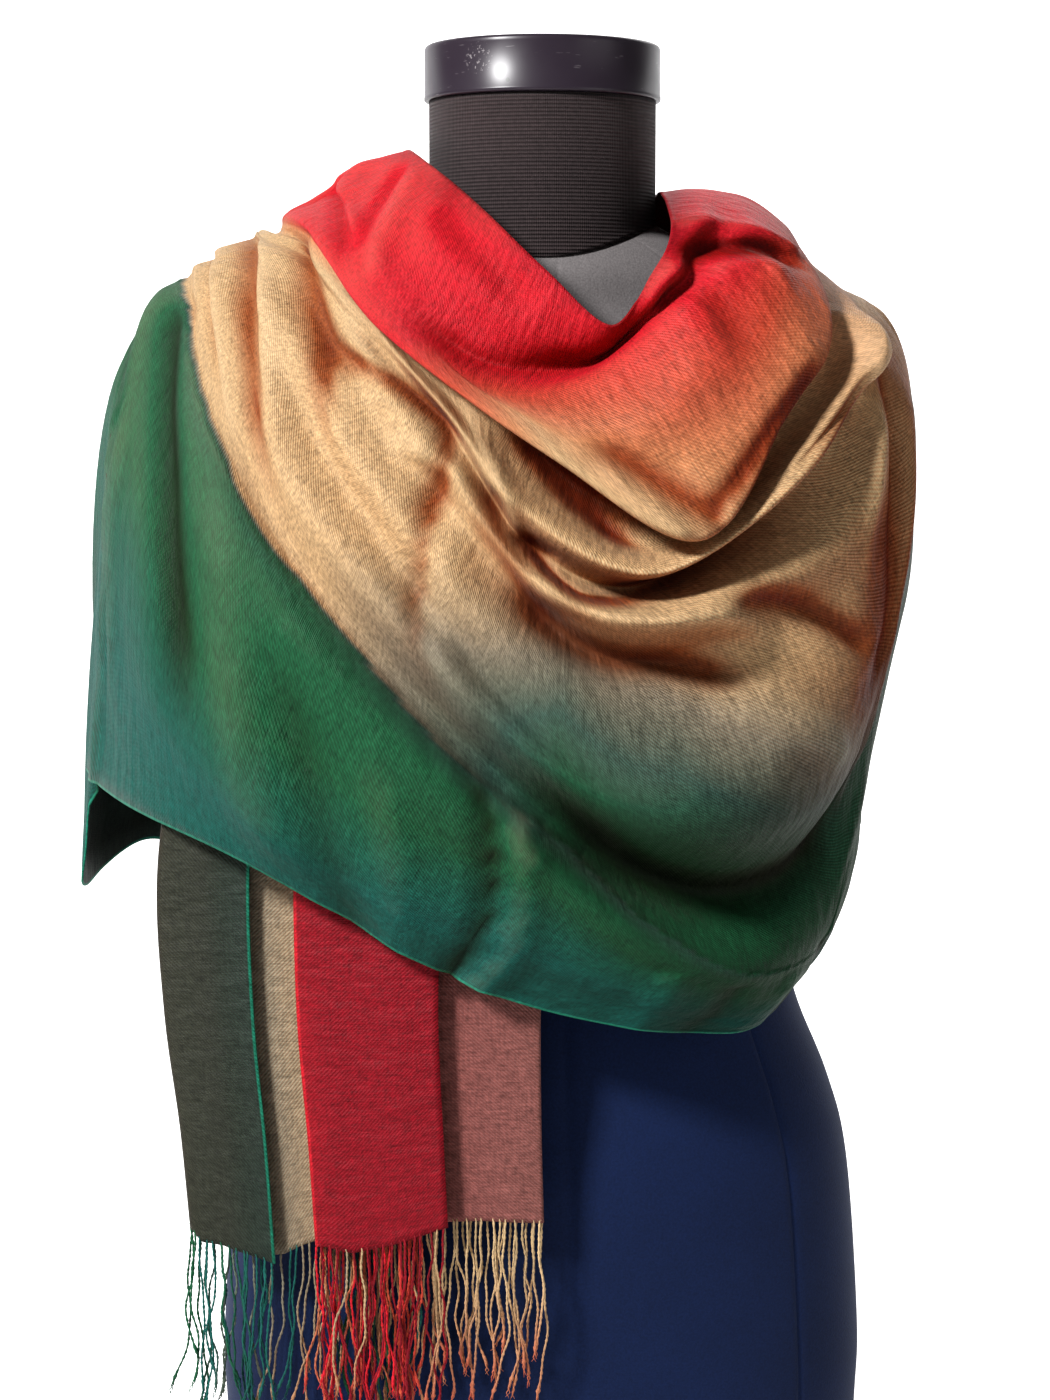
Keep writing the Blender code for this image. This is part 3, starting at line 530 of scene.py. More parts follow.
def curve_at(rows, places):
    """The smooth curve through rows, read at fractional row numbers."""
    rows = np.asarray(rows, float)
    places = np.asarray(places, float)
    padded = np.concatenate([[2 * rows[0] - rows[1]], rows, [2 * rows[-1] - rows[-2]]])
    k = np.clip(np.floor(places).astype(int), 0, len(rows) - 2)
    t = (places - k).reshape(-1, *[1] * (rows.ndim - 1))
    a, b, c, d = (padded[k + m] for m in range(4))
    return 0.5 * (
        2 * b + (c - a) * t + (2 * a - 5 * b + 4 * c - d) * t**2 + (3 * b - a - 3 * c + d) * t**3
    )


def eased(t):
    """t held from 0 to 1, with a soft start and end."""
    t = np.clip(t, 0, 1)
    return t * t * (3 - 2 * t)


def bell(away, width):
    return np.exp(-((away / width) ** 2))


def soft_noise(u, v, seed):
    """Smooth random values from -1 to 1 over a plane, one random value to each unit square."""
    values = np.random.default_rng(seed).uniform(-1, 1, (64, 64))
    iu, iv = np.floor(u).astype(int), np.floor(v).astype(int)
    tu, tv = eased(u - iu), eased(v - iv)

    def at(du, dv):
        return values[(iu + du) % 64, (iv + dv) % 64]

    low = at(0, 0) * (1 - tu) + at(1, 0) * tu
    high = at(0, 1) * (1 - tu) + at(1, 1) * tu
    return low * (1 - tv) + high * tv


OUTLINE_FINE = curve_at(DRAPE_OUTLINE, np.linspace(0, len(DRAPE_OUTLINE) - 1, 121))


def on_outline(x, z, out, front, ease):
    """Points of the drape at (x, z), moved out from its outline, and eased to y = 0 at a seam."""
    right, left, ahead, behind = (
        np.interp(z, OUTLINE_FINE[:, 0], OUTLINE_FINE[:, k]) for k in range(1, 5)
    )
    half = np.where(x > 0, right, left)
    depth = ahead if front else behind
    reach = np.minimum(np.abs(x) / half, 0.995)
    y = depth * (1 - reach**DRAPE_ROUNDNESS) ** (1 / DRAPE_ROUNDNESS)
    away = np.stack([x / half**2, y / depth**2])
    away /= np.linalg.norm(away, axis=0)
    x, y = x + out * ease * away[0], (y + out * away[1]) * ease
    return np.stack([x, -y if front else y, z], axis=-1)


def seam_ease(from_end):
    return (1 - (1 - np.minimum(from_end, 1.0)) ** 3) ** 0.5


def spaced(spans, steps):
    """Places along a row of stations: first span and last span closer beside the seams."""
    tau = np.linspace(0, 1, round(1.5 * steps) + 1)
    first = tau[:-1] ** 2
    middle = np.linspace(1, spans - 1, (spans - 2) * steps + 1)
    last = spans - first[::-1]
    return np.concatenate([first, middle, last])


def front_stations():
    return np.array([
        [
            (*fold.right_top, 0),
            (*fold.right_upper, 0.6 * fold.out_right),
            (*fold.right_mid, fold.out_right),
            (*fold.low, fold.out_low),
            (*fold.left_mid, 0.5 * (fold.out_low + fold.out_left)),
            (*fold.left_upper, fold.out_left),
            (*fold.left_top, 0),
        ]
        for fold in FRONT_FOLDS
    ])


def back_stations():
    """The swags' stations for every front fold, from the right shoulder to the left one."""
    names = [fold.name for fold in FRONT_FOLDS]
    carried = [names.index(swag.carries_on) for swag in BACK_SWAGS]
    swag_places = np.interp(range(len(FRONT_FOLDS)), carried, range(len(BACK_SWAGS)))
    rows = []
    for k, swag in enumerate(BACK_SWAGS):
        across = k / (len(BACK_SWAGS) - 1) * (len(UNDER_SHOULDER) - 1)
        rows.append([
            (*swag.right, SWAG_SIDES * swag.out),
            (*swag.middle, swag.out),
            (*swag.left, SWAG_SIDES * swag.out - UNDERLAP),
            (*curve_at(UNDER_SHOULDER, [across])[0], 0),
        ])
    fine = curve_at(rows, swag_places)
    right_ends = np.array([[(*fold.right_top, 0)] for fold in FRONT_FOLDS])
    return np.concatenate([right_ends, fine], axis=1)


def draped(stations, places, front):
    """One row of the drape through its stations (x, z, out), between two seams."""
    x, z, out = curve_at(stations, places).T
    spans = len(stations) - 1
    if front:
        t = np.clip(spans - places, 0, 1)
        crown = np.interp(stations[-1][1], *zip(*SHOULDER_CROWN))
        z = z + crown * CROWN_PEAK * t * (1 - t) ** 2
    return on_outline(x, z, out, front, seam_ease(np.minimum(places, spans - places)))


def end_row(number, t):
    """One row of the hanging end, at t of its length."""
    x_top, z_top = FRONT_FOLDS[number].left_top
    across = number / (len(FRONT_FOLDS) - 1)
    x_end = END_RED_CORNER[0] + across * (END_TEAL_CORNER[0] - END_RED_CORNER[0])
    z_end = END_RED_CORNER[1] + across * (END_TEAL_CORNER[1] - END_RED_CORNER[1])
    x = x_top + (x_end - x_top) * np.sin(t * math.pi / 2) ** END_X_POWER
    z = z_top + (z_end - z_top) * t**END_Z_POWER
    corner = t / CORNER_PLACE * np.exp(1 - t / CORNER_PLACE)
    if number == len(FRONT_FOLDS) - 1:
        z = z - CORNER_DROP * corner
    out = END_STAND_OFF * (1 - (1 - np.minimum(1, END_LEAVES * t)) ** 2)
    out = out + END_PLEAT * (-1) ** number * t**END_PLEAT_POWER
    out = out + CORNER_FLARE.get(FRONT_FOLDS[number].name, 0) * corner
    return on_outline(x, z, out, False, seam_ease(END_LEAVES * t))


def wrap_grid(row_steps):
    """The wrap from under the left shoulder, across the back and the front, to its end.

    Returns the points as [across][along], the fold number of each row, the places along, and
    the columns where the back turns into the front and the front into the hanging end.
    """
    back_places = spaced(4, STATION_STEPS)
    front_places = spaced(6, STATION_STEPS)
    end_places = np.linspace(0, 1, END_STEPS + 1)[1:] ** END_CROWDS
    rows = []
    for number, (front, back) in enumerate(zip(front_stations(), back_stations())):
        rows.append(np.concatenate([
            draped(back, back_places, False)[:0:-1],
            draped(front, front_places, True),
            end_row(number, end_places),
        ]))
    folds = np.linspace(0, len(rows) - 1, (len(rows) - 1) * row_steps + 1)
    along = np.concatenate([-back_places[:0:-1], front_places, 6 + 4 * end_places])
    seams = (len(back_places) - 1, len(back_places) + len(front_places) - 2)
    return curve_at(rows, folds), folds, along, seams


def normals_of(surface):
    """Unit normals of a surface array; which side they point to follows the array's order."""
    normals = np.cross(np.gradient(surface, axis=0), np.gradient(surface, axis=1))
    normals /= np.maximum(np.linalg.norm(normals, axis=2, keepdims=True), 1e-9)
    return normals


def pleat_fold(along):
    """The fold number of the pleat edge at each place."""
    return np.interp(along, *zip(*PLEAT_EDGE))


def dye_of(folds, along):
    """The dye's run over the wrap, from 0 at the red selvedge to 1 at the teal one."""
    edge = pleat_fold(along)[None, :]
    fold = folds[:, None]
    last = len(FRONT_FOLDS) - 1
    above = fold * PLEAT_FOLD / edge
    below = PLEAT_FOLD + (fold - edge) * (last - PLEAT_FOLD) / (last - edge)
    right, middle, left = (np.interp(along, places, [0, 1, 1, 0]) for places in DYE_PLACES)
    dyes = []
    for table, read in ((DYES_ABOVE, above), (DYES_BELOW, below)):
        places, *columns = zip(*table)
        at_right, at_middle, at_left = (np.interp(read, places, column) for column in columns)
        flat = fold * (1 - right - middle - left)
        dyes.append(flat + at_right * right + at_middle * middle + at_left * left)
    return np.clip(np.where(fold < edge, *dyes) / LAST_DYE, 0, 1)


def on_grid(surface, folds, along, path):
    """The smooth way through (fold number, place) pairs, and its points on a surface array."""
    fine = curve_at(path, np.linspace(0, len(path) - 1, CREASE_STEPS))
    rows = np.clip(np.interp(fine[:, 0], folds, range(len(folds))), 0, len(folds) - 1.001)
    columns = np.clip(np.interp(fine[:, 1], along, range(len(along))), 0, len(along) - 1.001)
    i, j = rows.astype(int), columns.astype(int)
    s, t = (rows - i)[:, None], (columns - j)[:, None]
    low = surface[i, j] * (1 - t) + surface[i, j + 1] * t
    high = surface[i + 1, j] * (1 - t) + surface[i + 1, j + 1] * t
    return fine, low * (1 - s) + high * s


def gaps_to(surface, line):
    """How far each point lies from a line's points, and the number of the nearest of them."""
    gaps = np.linalg.norm(surface[:, :, None] - line[None, None], axis=3)
    return gaps.min(axis=2), gaps.argmin(axis=2)


def crease_the(surface, folds, along):
    """How far the creases lift each point of the wrap, in mm, and the painted shade and highlight they
    lay on its colour.
    """
    lift = np.zeros(surface.shape[:2])
    tone = np.zeros(surface.shape[:2])
    for crease in CREASES:
        fine, line = on_grid(surface, folds, along, crease.path)
        near = np.ix_(*(
            np.where((places > way.min() - reach) & (places < way.max() + reach))[0]
            for places, way, reach in zip((folds, along), fine.T, CREASE_REACH)
        ))
        away, nearest = gaps_to(surface[near], line)
        from_end = np.minimum(nearest, CREASE_STEPS - 1 - nearest)
        taper = eased(from_end / (CREASE_STEPS * CREASE_TAPER))
        if crease.path[-1][0] == len(FRONT_FOLDS) - 1:
            taper = np.where(nearest > CREASE_STEPS / 2, 1, taper)
        profile = bell(away, crease.width) * taper
        lift[near] += crease.height * profile
        # Painted shade (negative) or painted highlight (positive) along the crease
        tone[near] += crease.tone * profile
    return lift, tone


def pleat_the(surface, folds, along):
    """The pleat edge: the green layer stands over the tan one, with a painted highlight along its edge
    and painted shade on the tan side.
    """
    path = [(fold, place) for place, fold in PLEAT_EDGE[:-1]]
    _, line = on_grid(surface, folds, along, path)
    columns = np.where((along > PLEAT_PLACES[0]) & (along < PLEAT_PLACES[1]))[0]
    rows = np.where((folds > PLEAT_FOLDS[0]) & (folds < PLEAT_FOLDS[1]))[0]
    near = np.ix_(rows, columns)
    away, nearest = gaps_to(surface[near], line)
    away *= np.sign(folds[rows][:, None] - pleat_fold(along[columns])[None, :])
    strength = np.interp(nearest / CREASE_STEPS, *PLEAT_STRENGTH)
    lift = np.zeros(surface.shape[:2])
    tone = np.zeros(surface.shape[:2])
    step = 1 / (1 + np.exp(-away / PLEAT_SHARPNESS))
    lift[near] = strength * (
        PLEAT_HEIGHT * step * bell(away, PLEAT_HEIGHT_REACH)
        - PLEAT_SINK * (1 - step) * bell(away, PLEAT_SINK_REACH)
    )
    # Painted highlight on the green side of the edge, painted shade on the tan side
    edge_painted_shading = PLEAT_PAINTED_HIGHLIGHT * step - PLEAT_SHADE * (1 - step)
    tone[near] = strength * edge_painted_shading * bell(away, PLEAT_LINE_WIDTH)
    return lift, tone


def away_from_axis(surface):
    """Level directions from the form's axis out to each point of a surface."""
    away = surface * (DRAPE_HALVES[0] ** -2, DRAPE_HALVES[1] ** -2, 0)
    return away / np.linalg.norm(away, axis=2, keepdims=True)


def soft_waves(surface):
    """Small uneven waves that run along the cloth, in mm."""
    across, along = lengths_along(surface, 0)[:, None], lengths_along(surface, 1)[None, :]
    u, v = np.broadcast_arrays(along, across)
    return sum(
        height * soft_noise(u / long + du, v / wide + dv + u / slant, seed)
        for seed, (height, long, wide, slant, du, dv) in enumerate(WAVES, 1)
    )


def lengths_along(surface, axis):
    """How far each row or column lies from the first, averaged over the other direction."""
    steps = np.linalg.norm(np.diff(surface, axis=axis), axis=2).mean(axis=1 - axis)
    return np.concatenate([[0], np.cumsum(steps)])


# Meshes


def new_piece(name, verts, faces, materials, slots=None):
    """A smooth mesh object that rides on the part's one body."""
    mesh = bpy.data.meshes.new(name)
    mesh.from_pydata([tuple(v) for v in verts], [], faces)
    mesh.update()
    mesh.shade_smooth()
    for made in materials:
        mesh.materials.append(made)
    if slots is not None:
        mesh.polygons.foreach_set("material_index", slots)
    piece = bpy.data.objects.new(name, mesh)
    bpy.context.scene.collection.objects.link(piece)
    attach(piece, "root")
    return piece


def set_values(mesh, name, values):
    layer = mesh.attributes.new(name, "FLOAT", "POINT")
    layer.data.foreach_set("value", np.asarray(values, float).ravel())


def key_painted_light(normals):
    """Painted light on the cloth by how it turns: painted highlight where it faces a fixed direction
    near the key light's, painted shade, browner, where it turns away from it.
    """
    x, y, z = np.moveaxis(normals, 2, 0)
    towards_key = KEY_PAINTED_LIGHT_SIDE[0] * x + KEY_PAINTED_LIGHT_SIDE[1] * np.abs(y) + KEY_PAINTED_LIGHT_SIDE[2] * z
    painted_lit_share = np.clip((towards_key - KEY_PAINTED_HIGHLIGHT_FROM) / KEY_PAINTED_HIGHLIGHT_SPAN, 0, 1)
    return KEY_PAINTED_HIGHLIGHT * painted_lit_share - KEY_PAINTED_SHADE * np.clip((KEY_PAINTED_SHADE_FROM - towards_key) / KEY_PAINTED_SHADE_SPAN, 0, 1)


def from_teal_edge(surface, first):
    """How far each point of a surface array lies from its teal selvedge, in mm."""
    steps = np.linalg.norm(np.diff(surface if first else surface[::-1], axis=0), axis=2)
    margin = np.concatenate([np.zeros((1, surface.shape[1])), np.cumsum(steps, axis=0)])
    return margin if first else margin[::-1]


# How thick a sheet's outermost rows are beside its selvedges, and the bake's layout: where the
# face and the reverse start, and how much of the square each takes
RIM_SHARE = 0.8
BAKE_STARTS, BAKE_BOTTOM = (0.01, 0.52), 0.01
BAKE_WIDTH, BAKE_HEIGHT = 0.47, 0.98


def cloth_shell(name, surface, normals, values, stole):
    """A closed thin shell about a surface array in mm, with a face and a reverse side."""
    wall, selvedge = stole.wall, stole.selvedge
    rows, columns = surface.shape[:2]
    thickness = np.full((rows, 1, 1), wall)
    thickness[0] = thickness[-1] = selvedge * RIM_SHARE
    thickness[1] = thickness[-2] = selvedge
    half = normals * thickness / 2
    verts = np.concatenate([
        (surface * MM + half).reshape(-1, 3),
        (surface * MM - half).reshape(-1, 3),
    ])
    inner = rows * columns
    i, j = np.meshgrid(np.arange(rows - 1), np.arange(columns - 1), indexing="ij")
    a = (i * columns + j).ravel()
    outer_faces = np.stack([a, a + 1, a + 1 + columns, a + columns], axis=1)
    inner_faces = outer_faces[:, ::-1] + inner
    ring = [(0, j) for j in range(columns)] + [(i, columns - 1) for i in range(1, rows)]
    ring += [(rows - 1, j) for j in range(columns - 2, -1, -1)]
    ring += [(i, 0) for i in range(rows - 2, 0, -1)]
    edge = np.array([i * columns + j for i, j in ring])
    following = np.roll(edge, -1)
    rim = np.stack([following, edge, edge + inner, following + inner], axis=1)
    faces = np.concatenate([outer_faces, inner_faces, rim])
    slots = np.repeat([0, 1, 0], [len(outer_faces), len(inner_faces), len(rim)])
    piece = new_piece(name, verts, faces.tolist(), cloth_materials(stole), slots)
    mesh = piece.data
    for title, field in values.items():
        set_values(mesh, title, np.tile(field.ravel(), 2))
    across, along = lengths_along(surface, 0), lengths_along(surface, 1)
    u = np.broadcast_to(along * MM, (rows, columns)).ravel()
    v = np.broadcast_to((across * MM)[:, None], (rows, columns)).ravel()
    weave = np.tile(np.stack([u, v], 1), (2, 1))
    bake = np.concatenate([
        np.stack([start + BAKE_WIDTH * u / u.max(), BAKE_BOTTOM + BAKE_HEIGHT * v / v.max()], 1)
        for start in BAKE_STARTS
    ])
    loops = np.empty(len(mesh.loops), int)
    mesh.loops.foreach_get("vertex_index", loops)
    for title, places in (("weave", weave), ("OFBake", bake)):
        layer = mesh.uv_layers.new(name=title)
        layer.data.foreach_set("uv", places[loops].ravel())
    return piece


# Materials


def new_group(name, inputs, outputs):
    """An empty shader group with named sockets: (name, type, default) and (name, type)."""
    group = bpy.data.node_groups.new(name, "ShaderNodeTree")
    for title, kind, default in inputs:
        made = group.interface.new_socket(title, in_out="INPUT", socket_type=kind)
        if default is not None:
            made.default_value = default
    for title, kind in outputs:
        group.interface.new_socket(title, in_out="OUTPUT", socket_type=kind)
    return group, group.nodes.new("NodeGroupInput"), group.nodes.new("NodeGroupOutput")


def feed(tree, socket, value):
    """Sets a socket to a number or a colour, or links an output to it."""
    if isinstance(value, (int, float)):
        socket.default_value = value
    elif isinstance(value, (tuple, list)):
        socket.default_value = (*value[:3], 1)
    else:
        tree.links.new(value, socket)


def math_node(tree, operation, *values):
    node = tree.nodes.new("ShaderNodeMath")
    node.operation = operation
    for socket, value in zip(node.inputs, values):
        feed(tree, socket, value)
    return node.outputs[0]


def between(tree, value, low, high):
    """0 where the value is at low, 1 where it is at high, and clamped outside."""
    node = tree.nodes.new("ShaderNodeMapRange")
    node.inputs["From Min"].default_value = low
    node.inputs["From Max"].default_value = high
    tree.links.new(value, node.inputs["Value"])
    return node.outputs[0]


def mix_colour(tree, blend, factor, a, b):
    node = tree.nodes.new("ShaderNodeMix")
    node.data_type = "RGBA"
    node.blend_type = blend
    for socket, value in ((node.inputs[0], factor), (node.inputs[6], a), (node.inputs[7], b)):
        feed(tree, socket, value)
    return node.outputs[2]


def noise(tree, vector, scale, detail=2.0, stretch=(1, 1, 1)):
    mapping = tree.nodes.new("ShaderNodeMapping")
    mapping.inputs["Scale"].default_value = stretch
    tree.links.new(vector, mapping.inputs["Vector"])
    node = tree.nodes.new("ShaderNodeTexNoise")
    feed(tree, node.inputs["Scale"], scale)
    node.inputs["Detail"].default_value = detail
    tree.links.new(mapping.outputs[0], node.inputs["Vector"])
    return node.outputs[0]


def twill_group():
    """The weave: diagonal ribs, and threads that differ a little from one another."""
    group, given, out = new_group(
        "Twill weave",
        [("Place", "NodeSocketVector", None), ("Pitch", "NodeSocketFloat", 0.0017)],
        [("Ribs", "NodeSocketFloat"), ("Threads", "NodeSocketFloat"), ("Height", "NodeSocketFloat")],
    )
    u, v, _ = parts_of(group, given.outputs["Place"])
    turn = math_node(group, "DIVIDE", 2 * math.pi, given.outputs["Pitch"])
    wander = noise(group, given.outputs["Place"], 90, 1)
    diagonal = math_node(group, "ADD", math_node(group, "MULTIPLY", u, 0.8), v)
    phase = math_node(group, "ADD", math_node(group, "MULTIPLY", diagonal, turn), wander)
    ribs = math_node(group, "MULTIPLY_ADD", math_node(group, "SINE", phase), 0.5, 0.5)
    cross = math_node(group, "MULTIPLY", math_node(group, "MULTIPLY", u, turn), 1.9)
    height = math_node(group, "MULTIPLY_ADD", math_node(group, "SINE", cross), 0.18, ribs)
    warp = noise(group, given.outputs["Place"], 1, 2, (120, 1000, 1))
    weft = noise(group, given.outputs["Place"], 1, 2, (1000, 120, 1))
    slubs = noise(group, given.outputs["Place"], 1, 1, (700, 300, 1))
    threads = math_node(group, "ADD", math_node(group, "ADD", warp, weft), slubs)
    group.links.new(ribs, out.inputs["Ribs"])
    group.links.new(math_node(group, "MULTIPLY", threads, 1 / 3), out.inputs["Threads"])
    group.links.new(height, out.inputs["Height"])
    return group


def fibre_group():
    """Fine fibres and broader patches that lighten and darken a cloth."""
    group, given, out = new_group(
        "Fibre shade",
        [
            ("Place", "NodeSocketVector", None), ("Grain", "NodeSocketFloat", 900.0),
            ("Fine", "NodeSocketFloat", 0.8), ("Broad", "NodeSocketFloat", 0.3),
        ],
        [("Shade", "NodeSocketFloat"), ("Fibres", "NodeSocketFloat")],
    )
    fine = noise(group, given.outputs["Place"], given.outputs["Grain"], 3)
    broad = noise(group, given.outputs["Place"], 18, 3)
    shade = 1.0
    for field, amount in ((fine, "Fine"), (broad, "Broad")):
        off = math_node(group, "SUBTRACT", field, 0.5)
        shade = math_node(group, "MULTIPLY_ADD", off, given.outputs[amount], shade)
    group.links.new(shade, out.inputs["Shade"])
    group.links.new(fine, out.inputs["Fibres"])
    return group


def ramp(tree, factor, stops):
    """A colour ramp through (place, colour) stops."""
    node = tree.nodes.new("ShaderNodeValToRGB")
    tree.links.new(factor, node.inputs[0])
    elements = node.color_ramp.elements
    while len(elements) > 1:
        elements.remove(elements[-1])
    elements[0].position = stops[0][0]
    elements[0].color = (*stops[0][1], 1)
    for place, value in stops[1:]:
        elements.new(place).color = (*value, 1)
    return node.outputs[0]


def dye_stops(stole):
    """Where each colour of the cloth's face stands in the dye's run."""
    colours = [
        (0.0, stole.red), (0.8, stole.red), (1.6, stole.scarlet), (3.8, stole.scarlet),
        (5.6, stole.coral), (7.4, stole.amber), (9.0, stole.gold), (11.4, stole.gold),
        (13.0, stole.stone), (14.5, stole.sage), (16.0, stole.green), (17.2, stole.green),
        (18.4, stole.teal), (19.0, stole.teal),
    ]
    return [(place / LAST_DYE, tuple(value)) for place, value in colours]


REVERSE_STOPS = [
    (0.0, (0.19, 0.006, 0.014)),
    (0.20, (0.24, 0.012, 0.020)),
    (0.36, (0.22, 0.060, 0.048)),
    (0.50, (0.26, 0.105, 0.098)),
    (0.60, (0.25, 0.120, 0.105)),
    (0.72, (0.12, 0.10, 0.078)),
    (0.84, (0.050, 0.058, 0.042)),
    (0.94, (0.034, 0.046, 0.034)),
    (1.0, (0.026, 0.050, 0.040)),
]

# The tints of the weft between the ribs, of the painted shade in valleys and of the painted
# highlight on ridges, and how strong each is. From a painted shading of -1 down, a valley's painted
# shade is laid on a second time.
WEFT_TINT, WEFT_STRENGTH = (0.80, 0.58, 0.48), 0.8
PAINTED_SHADE_TINT, PAINTED_SHADE_STRENGTH, DEEPEST_PAINTED_SHADE_STRENGTH = (0.55, 0.26, 0.16), 0.9, 1.2
PAINTED_HIGHLIGHT_TINT, PAINTED_HIGHLIGHT_STRENGTH = (0.30, 0.25, 0.17), 0.3

# The crinkle in the cloth's bump, drawn out across the cloth, and the bump's strength and its
# depth in metres
CRINKLE_SCALE, CRINKLE_STRETCH, CRINKLE_HEIGHT = 60, (2.2, 1, 1), 15
CLOTH_BUMP, CLOTH_BUMP_DEPTH = 0.45, 0.0005


def attribute(tree, name, output="Fac"):
    node = tree.nodes.new("ShaderNodeAttribute")
    node.attribute_name = name
    return node.outputs[output]


def placed_group(tree, title, maker, inputs):
    """A node that places the group of that title, which is made the first time it is asked for."""
    node = tree.nodes.new("ShaderNodeGroup")
    node.node_tree = bpy.data.node_groups.get(title) or maker()
    for name, value in inputs.items():
        feed(tree, node.inputs[name], value)
    return node.outputs


def bumped(tree, shader, height, strength, distance):
    bump = tree.nodes.new("ShaderNodeBump")
    bump.inputs["Strength"].default_value = strength
    bump.inputs["Distance"].default_value = distance
    tree.links.new(height, bump.inputs["Height"])
    tree.links.new(bump.outputs[0], shader.inputs["Normal"])


def new_material(name, **values):
    """A material whose shader has the named constants, with spaces for underscores."""
    made = bpy.data.materials.new(name)
    made.use_nodes = True
    shader = made.node_tree.nodes["Principled BSDF"]
    for title, value in values.items():
        feed(made.node_tree, shader.inputs[title.replace("_", " ")], value)
    return made, made.node_tree, shader


def cloth_material(name, stops, stole):
    """Shot twill: the dyed warp, with more of the darker weft between its ribs, browner painted shade in
    its folds and where it turns from the key light, and paler painted highlight on its ridges and where
    it faces it.
    """
    made, tree, shader = new_material(
        name, Roughness=0.58, Specular_IOR_Level=0.22, Sheen_Weight=0.05, Sheen_Roughness=0.35,
        Sheen_Tint=(1.0, 0.93, 0.82),
    )
    place, tone = named_uv(tree, "weave"), attribute(tree, "tone")
    twill = placed_group(
        tree, "Twill weave", twill_group, {"Place": place, "Pitch": stole.twill_pitch})
    drift = math_node(tree, "MULTIPLY_ADD", noise(tree, place, 22, 3), 0.03, -0.015)
    mixed = ramp(tree, math_node(tree, "ADD", attribute(tree, "dye"), drift), stops)
    weft = math_node(tree, "MULTIPLY", twill["Ribs"], WEFT_STRENGTH)
    mixed = mix_colour(tree, "MULTIPLY", weft, mixed, WEFT_TINT)
    at_hem = between(tree, attribute(tree, "margin"), stole.hem_line * 1.3, stole.hem_line * 0.7)
    mixed = mix_colour(tree, "MIX", at_hem, mixed, tuple(stole.hem))
    level = math_node(tree, "MULTIPLY_ADD", twill["Threads"], 2.6, -0.3)
    mixed = mix_colour(tree, "MULTIPLY", 1.0, mixed, level)
    # Painted shade, browner, where the painted shading is negative, laid on a second time below -1
    painted_shade_amount = math_node(tree, "MAXIMUM", math_node(tree, "MULTIPLY", tone, -1), 0)
    deep = math_node(tree, "MULTIPLY", painted_shade_amount, PAINTED_SHADE_STRENGTH)
    deepest_painted_shade = math_node(tree, "MULTIPLY_ADD", tone, -DEEPEST_PAINTED_SHADE_STRENGTH, -DEEPEST_PAINTED_SHADE_STRENGTH)
    for valley in (deep, deepest_painted_shade):
        mixed = mix_colour(tree, "MULTIPLY", valley, mixed, PAINTED_SHADE_TINT)
    # Painted highlight, paler, where the painted shading is positive
    high = math_node(tree, "MULTIPLY", math_node(tree, "MAXIMUM", tone, 0), PAINTED_HIGHLIGHT_STRENGTH)
    mixed = mix_colour(tree, "SCREEN", high, mixed, PAINTED_HIGHLIGHT_TINT)
    tree.links.new(mixed, shader.inputs["Base Color"])
    crinkle = noise(tree, place, CRINKLE_SCALE, 4, CRINKLE_STRETCH)
    height = math_node(tree, "MULTIPLY_ADD", crinkle, CRINKLE_HEIGHT, twill["Height"])
    bumped(tree, shader, height, CLOTH_BUMP, CLOTH_BUMP_DEPTH)
    return made


def material_named(name, maker, *values):
    """The material of that name, made the first time it is asked for."""
    return bpy.data.materials.get(name) or maker(name, *values)


def cloth_materials(stole):
    return [
        material_named("stole face", cloth_material, dye_stops(stole), stole),
        material_named("stole reverse", cloth_material, REVERSE_STOPS, stole),
    ]


def object_place(tree):
    return tree.nodes.new("ShaderNodeTexCoord").outputs["Object"]


def named_uv(tree, name):
    node = tree.nodes.new("ShaderNodeUVMap")
    node.uv_map = name
    return node.outputs[0]


def parts_of(tree, vector):
    """The three numbers of a vector."""
    node = tree.nodes.new("ShaderNodeSeparateXYZ")
    tree.links.new(vector, node.inputs[0])
    return node.outputs


def fibres(tree, grain, fine, broad):
    """The fibre group's outputs at the object's own coordinates."""
    return placed_group(tree, "Fibre shade", fibre_group, {
        "Place": object_place(tree), "Grain": grain, "Fine": fine, "Broad": broad})


def shaded(tree, shader, base, shade):
    """Gives the shader its base colour, lightened and darkened by a shade."""
    tree.links.new(mix_colour(tree, "MULTIPLY", 1.0, base, shade), shader.inputs["Base Color"])


def thread_material(name):
    """Twisted yarn, whose colour is each strand's own."""
    made, tree, shader = new_material(name, Roughness=0.6, Specular_IOR_Level=0.25, Sheen_Weight=0.1)
    shaded(tree, shader, attribute(tree, "yarn", "Color"), fibres(tree, 900, 0.9, 0.2)["Shade"])
    return made


def felt_material(name, base, grain, sheen):
    """A dense short-napped cloth over the form."""
    made, tree, shader = new_material(
        name, Roughness=0.8, Specular_IOR_Level=0.25, Sheen_Weight=sheen, Sheen_Roughness=0.45)
    fibre = fibres(tree, grain, 1.0, 0.4)
    shaded(tree, shader, tuple(base), fibre["Shade"])
    bumped(tree, shader, fibre["Fibres"], 0.35, 0.0006)
    return made


STITCHES_AROUND = 330


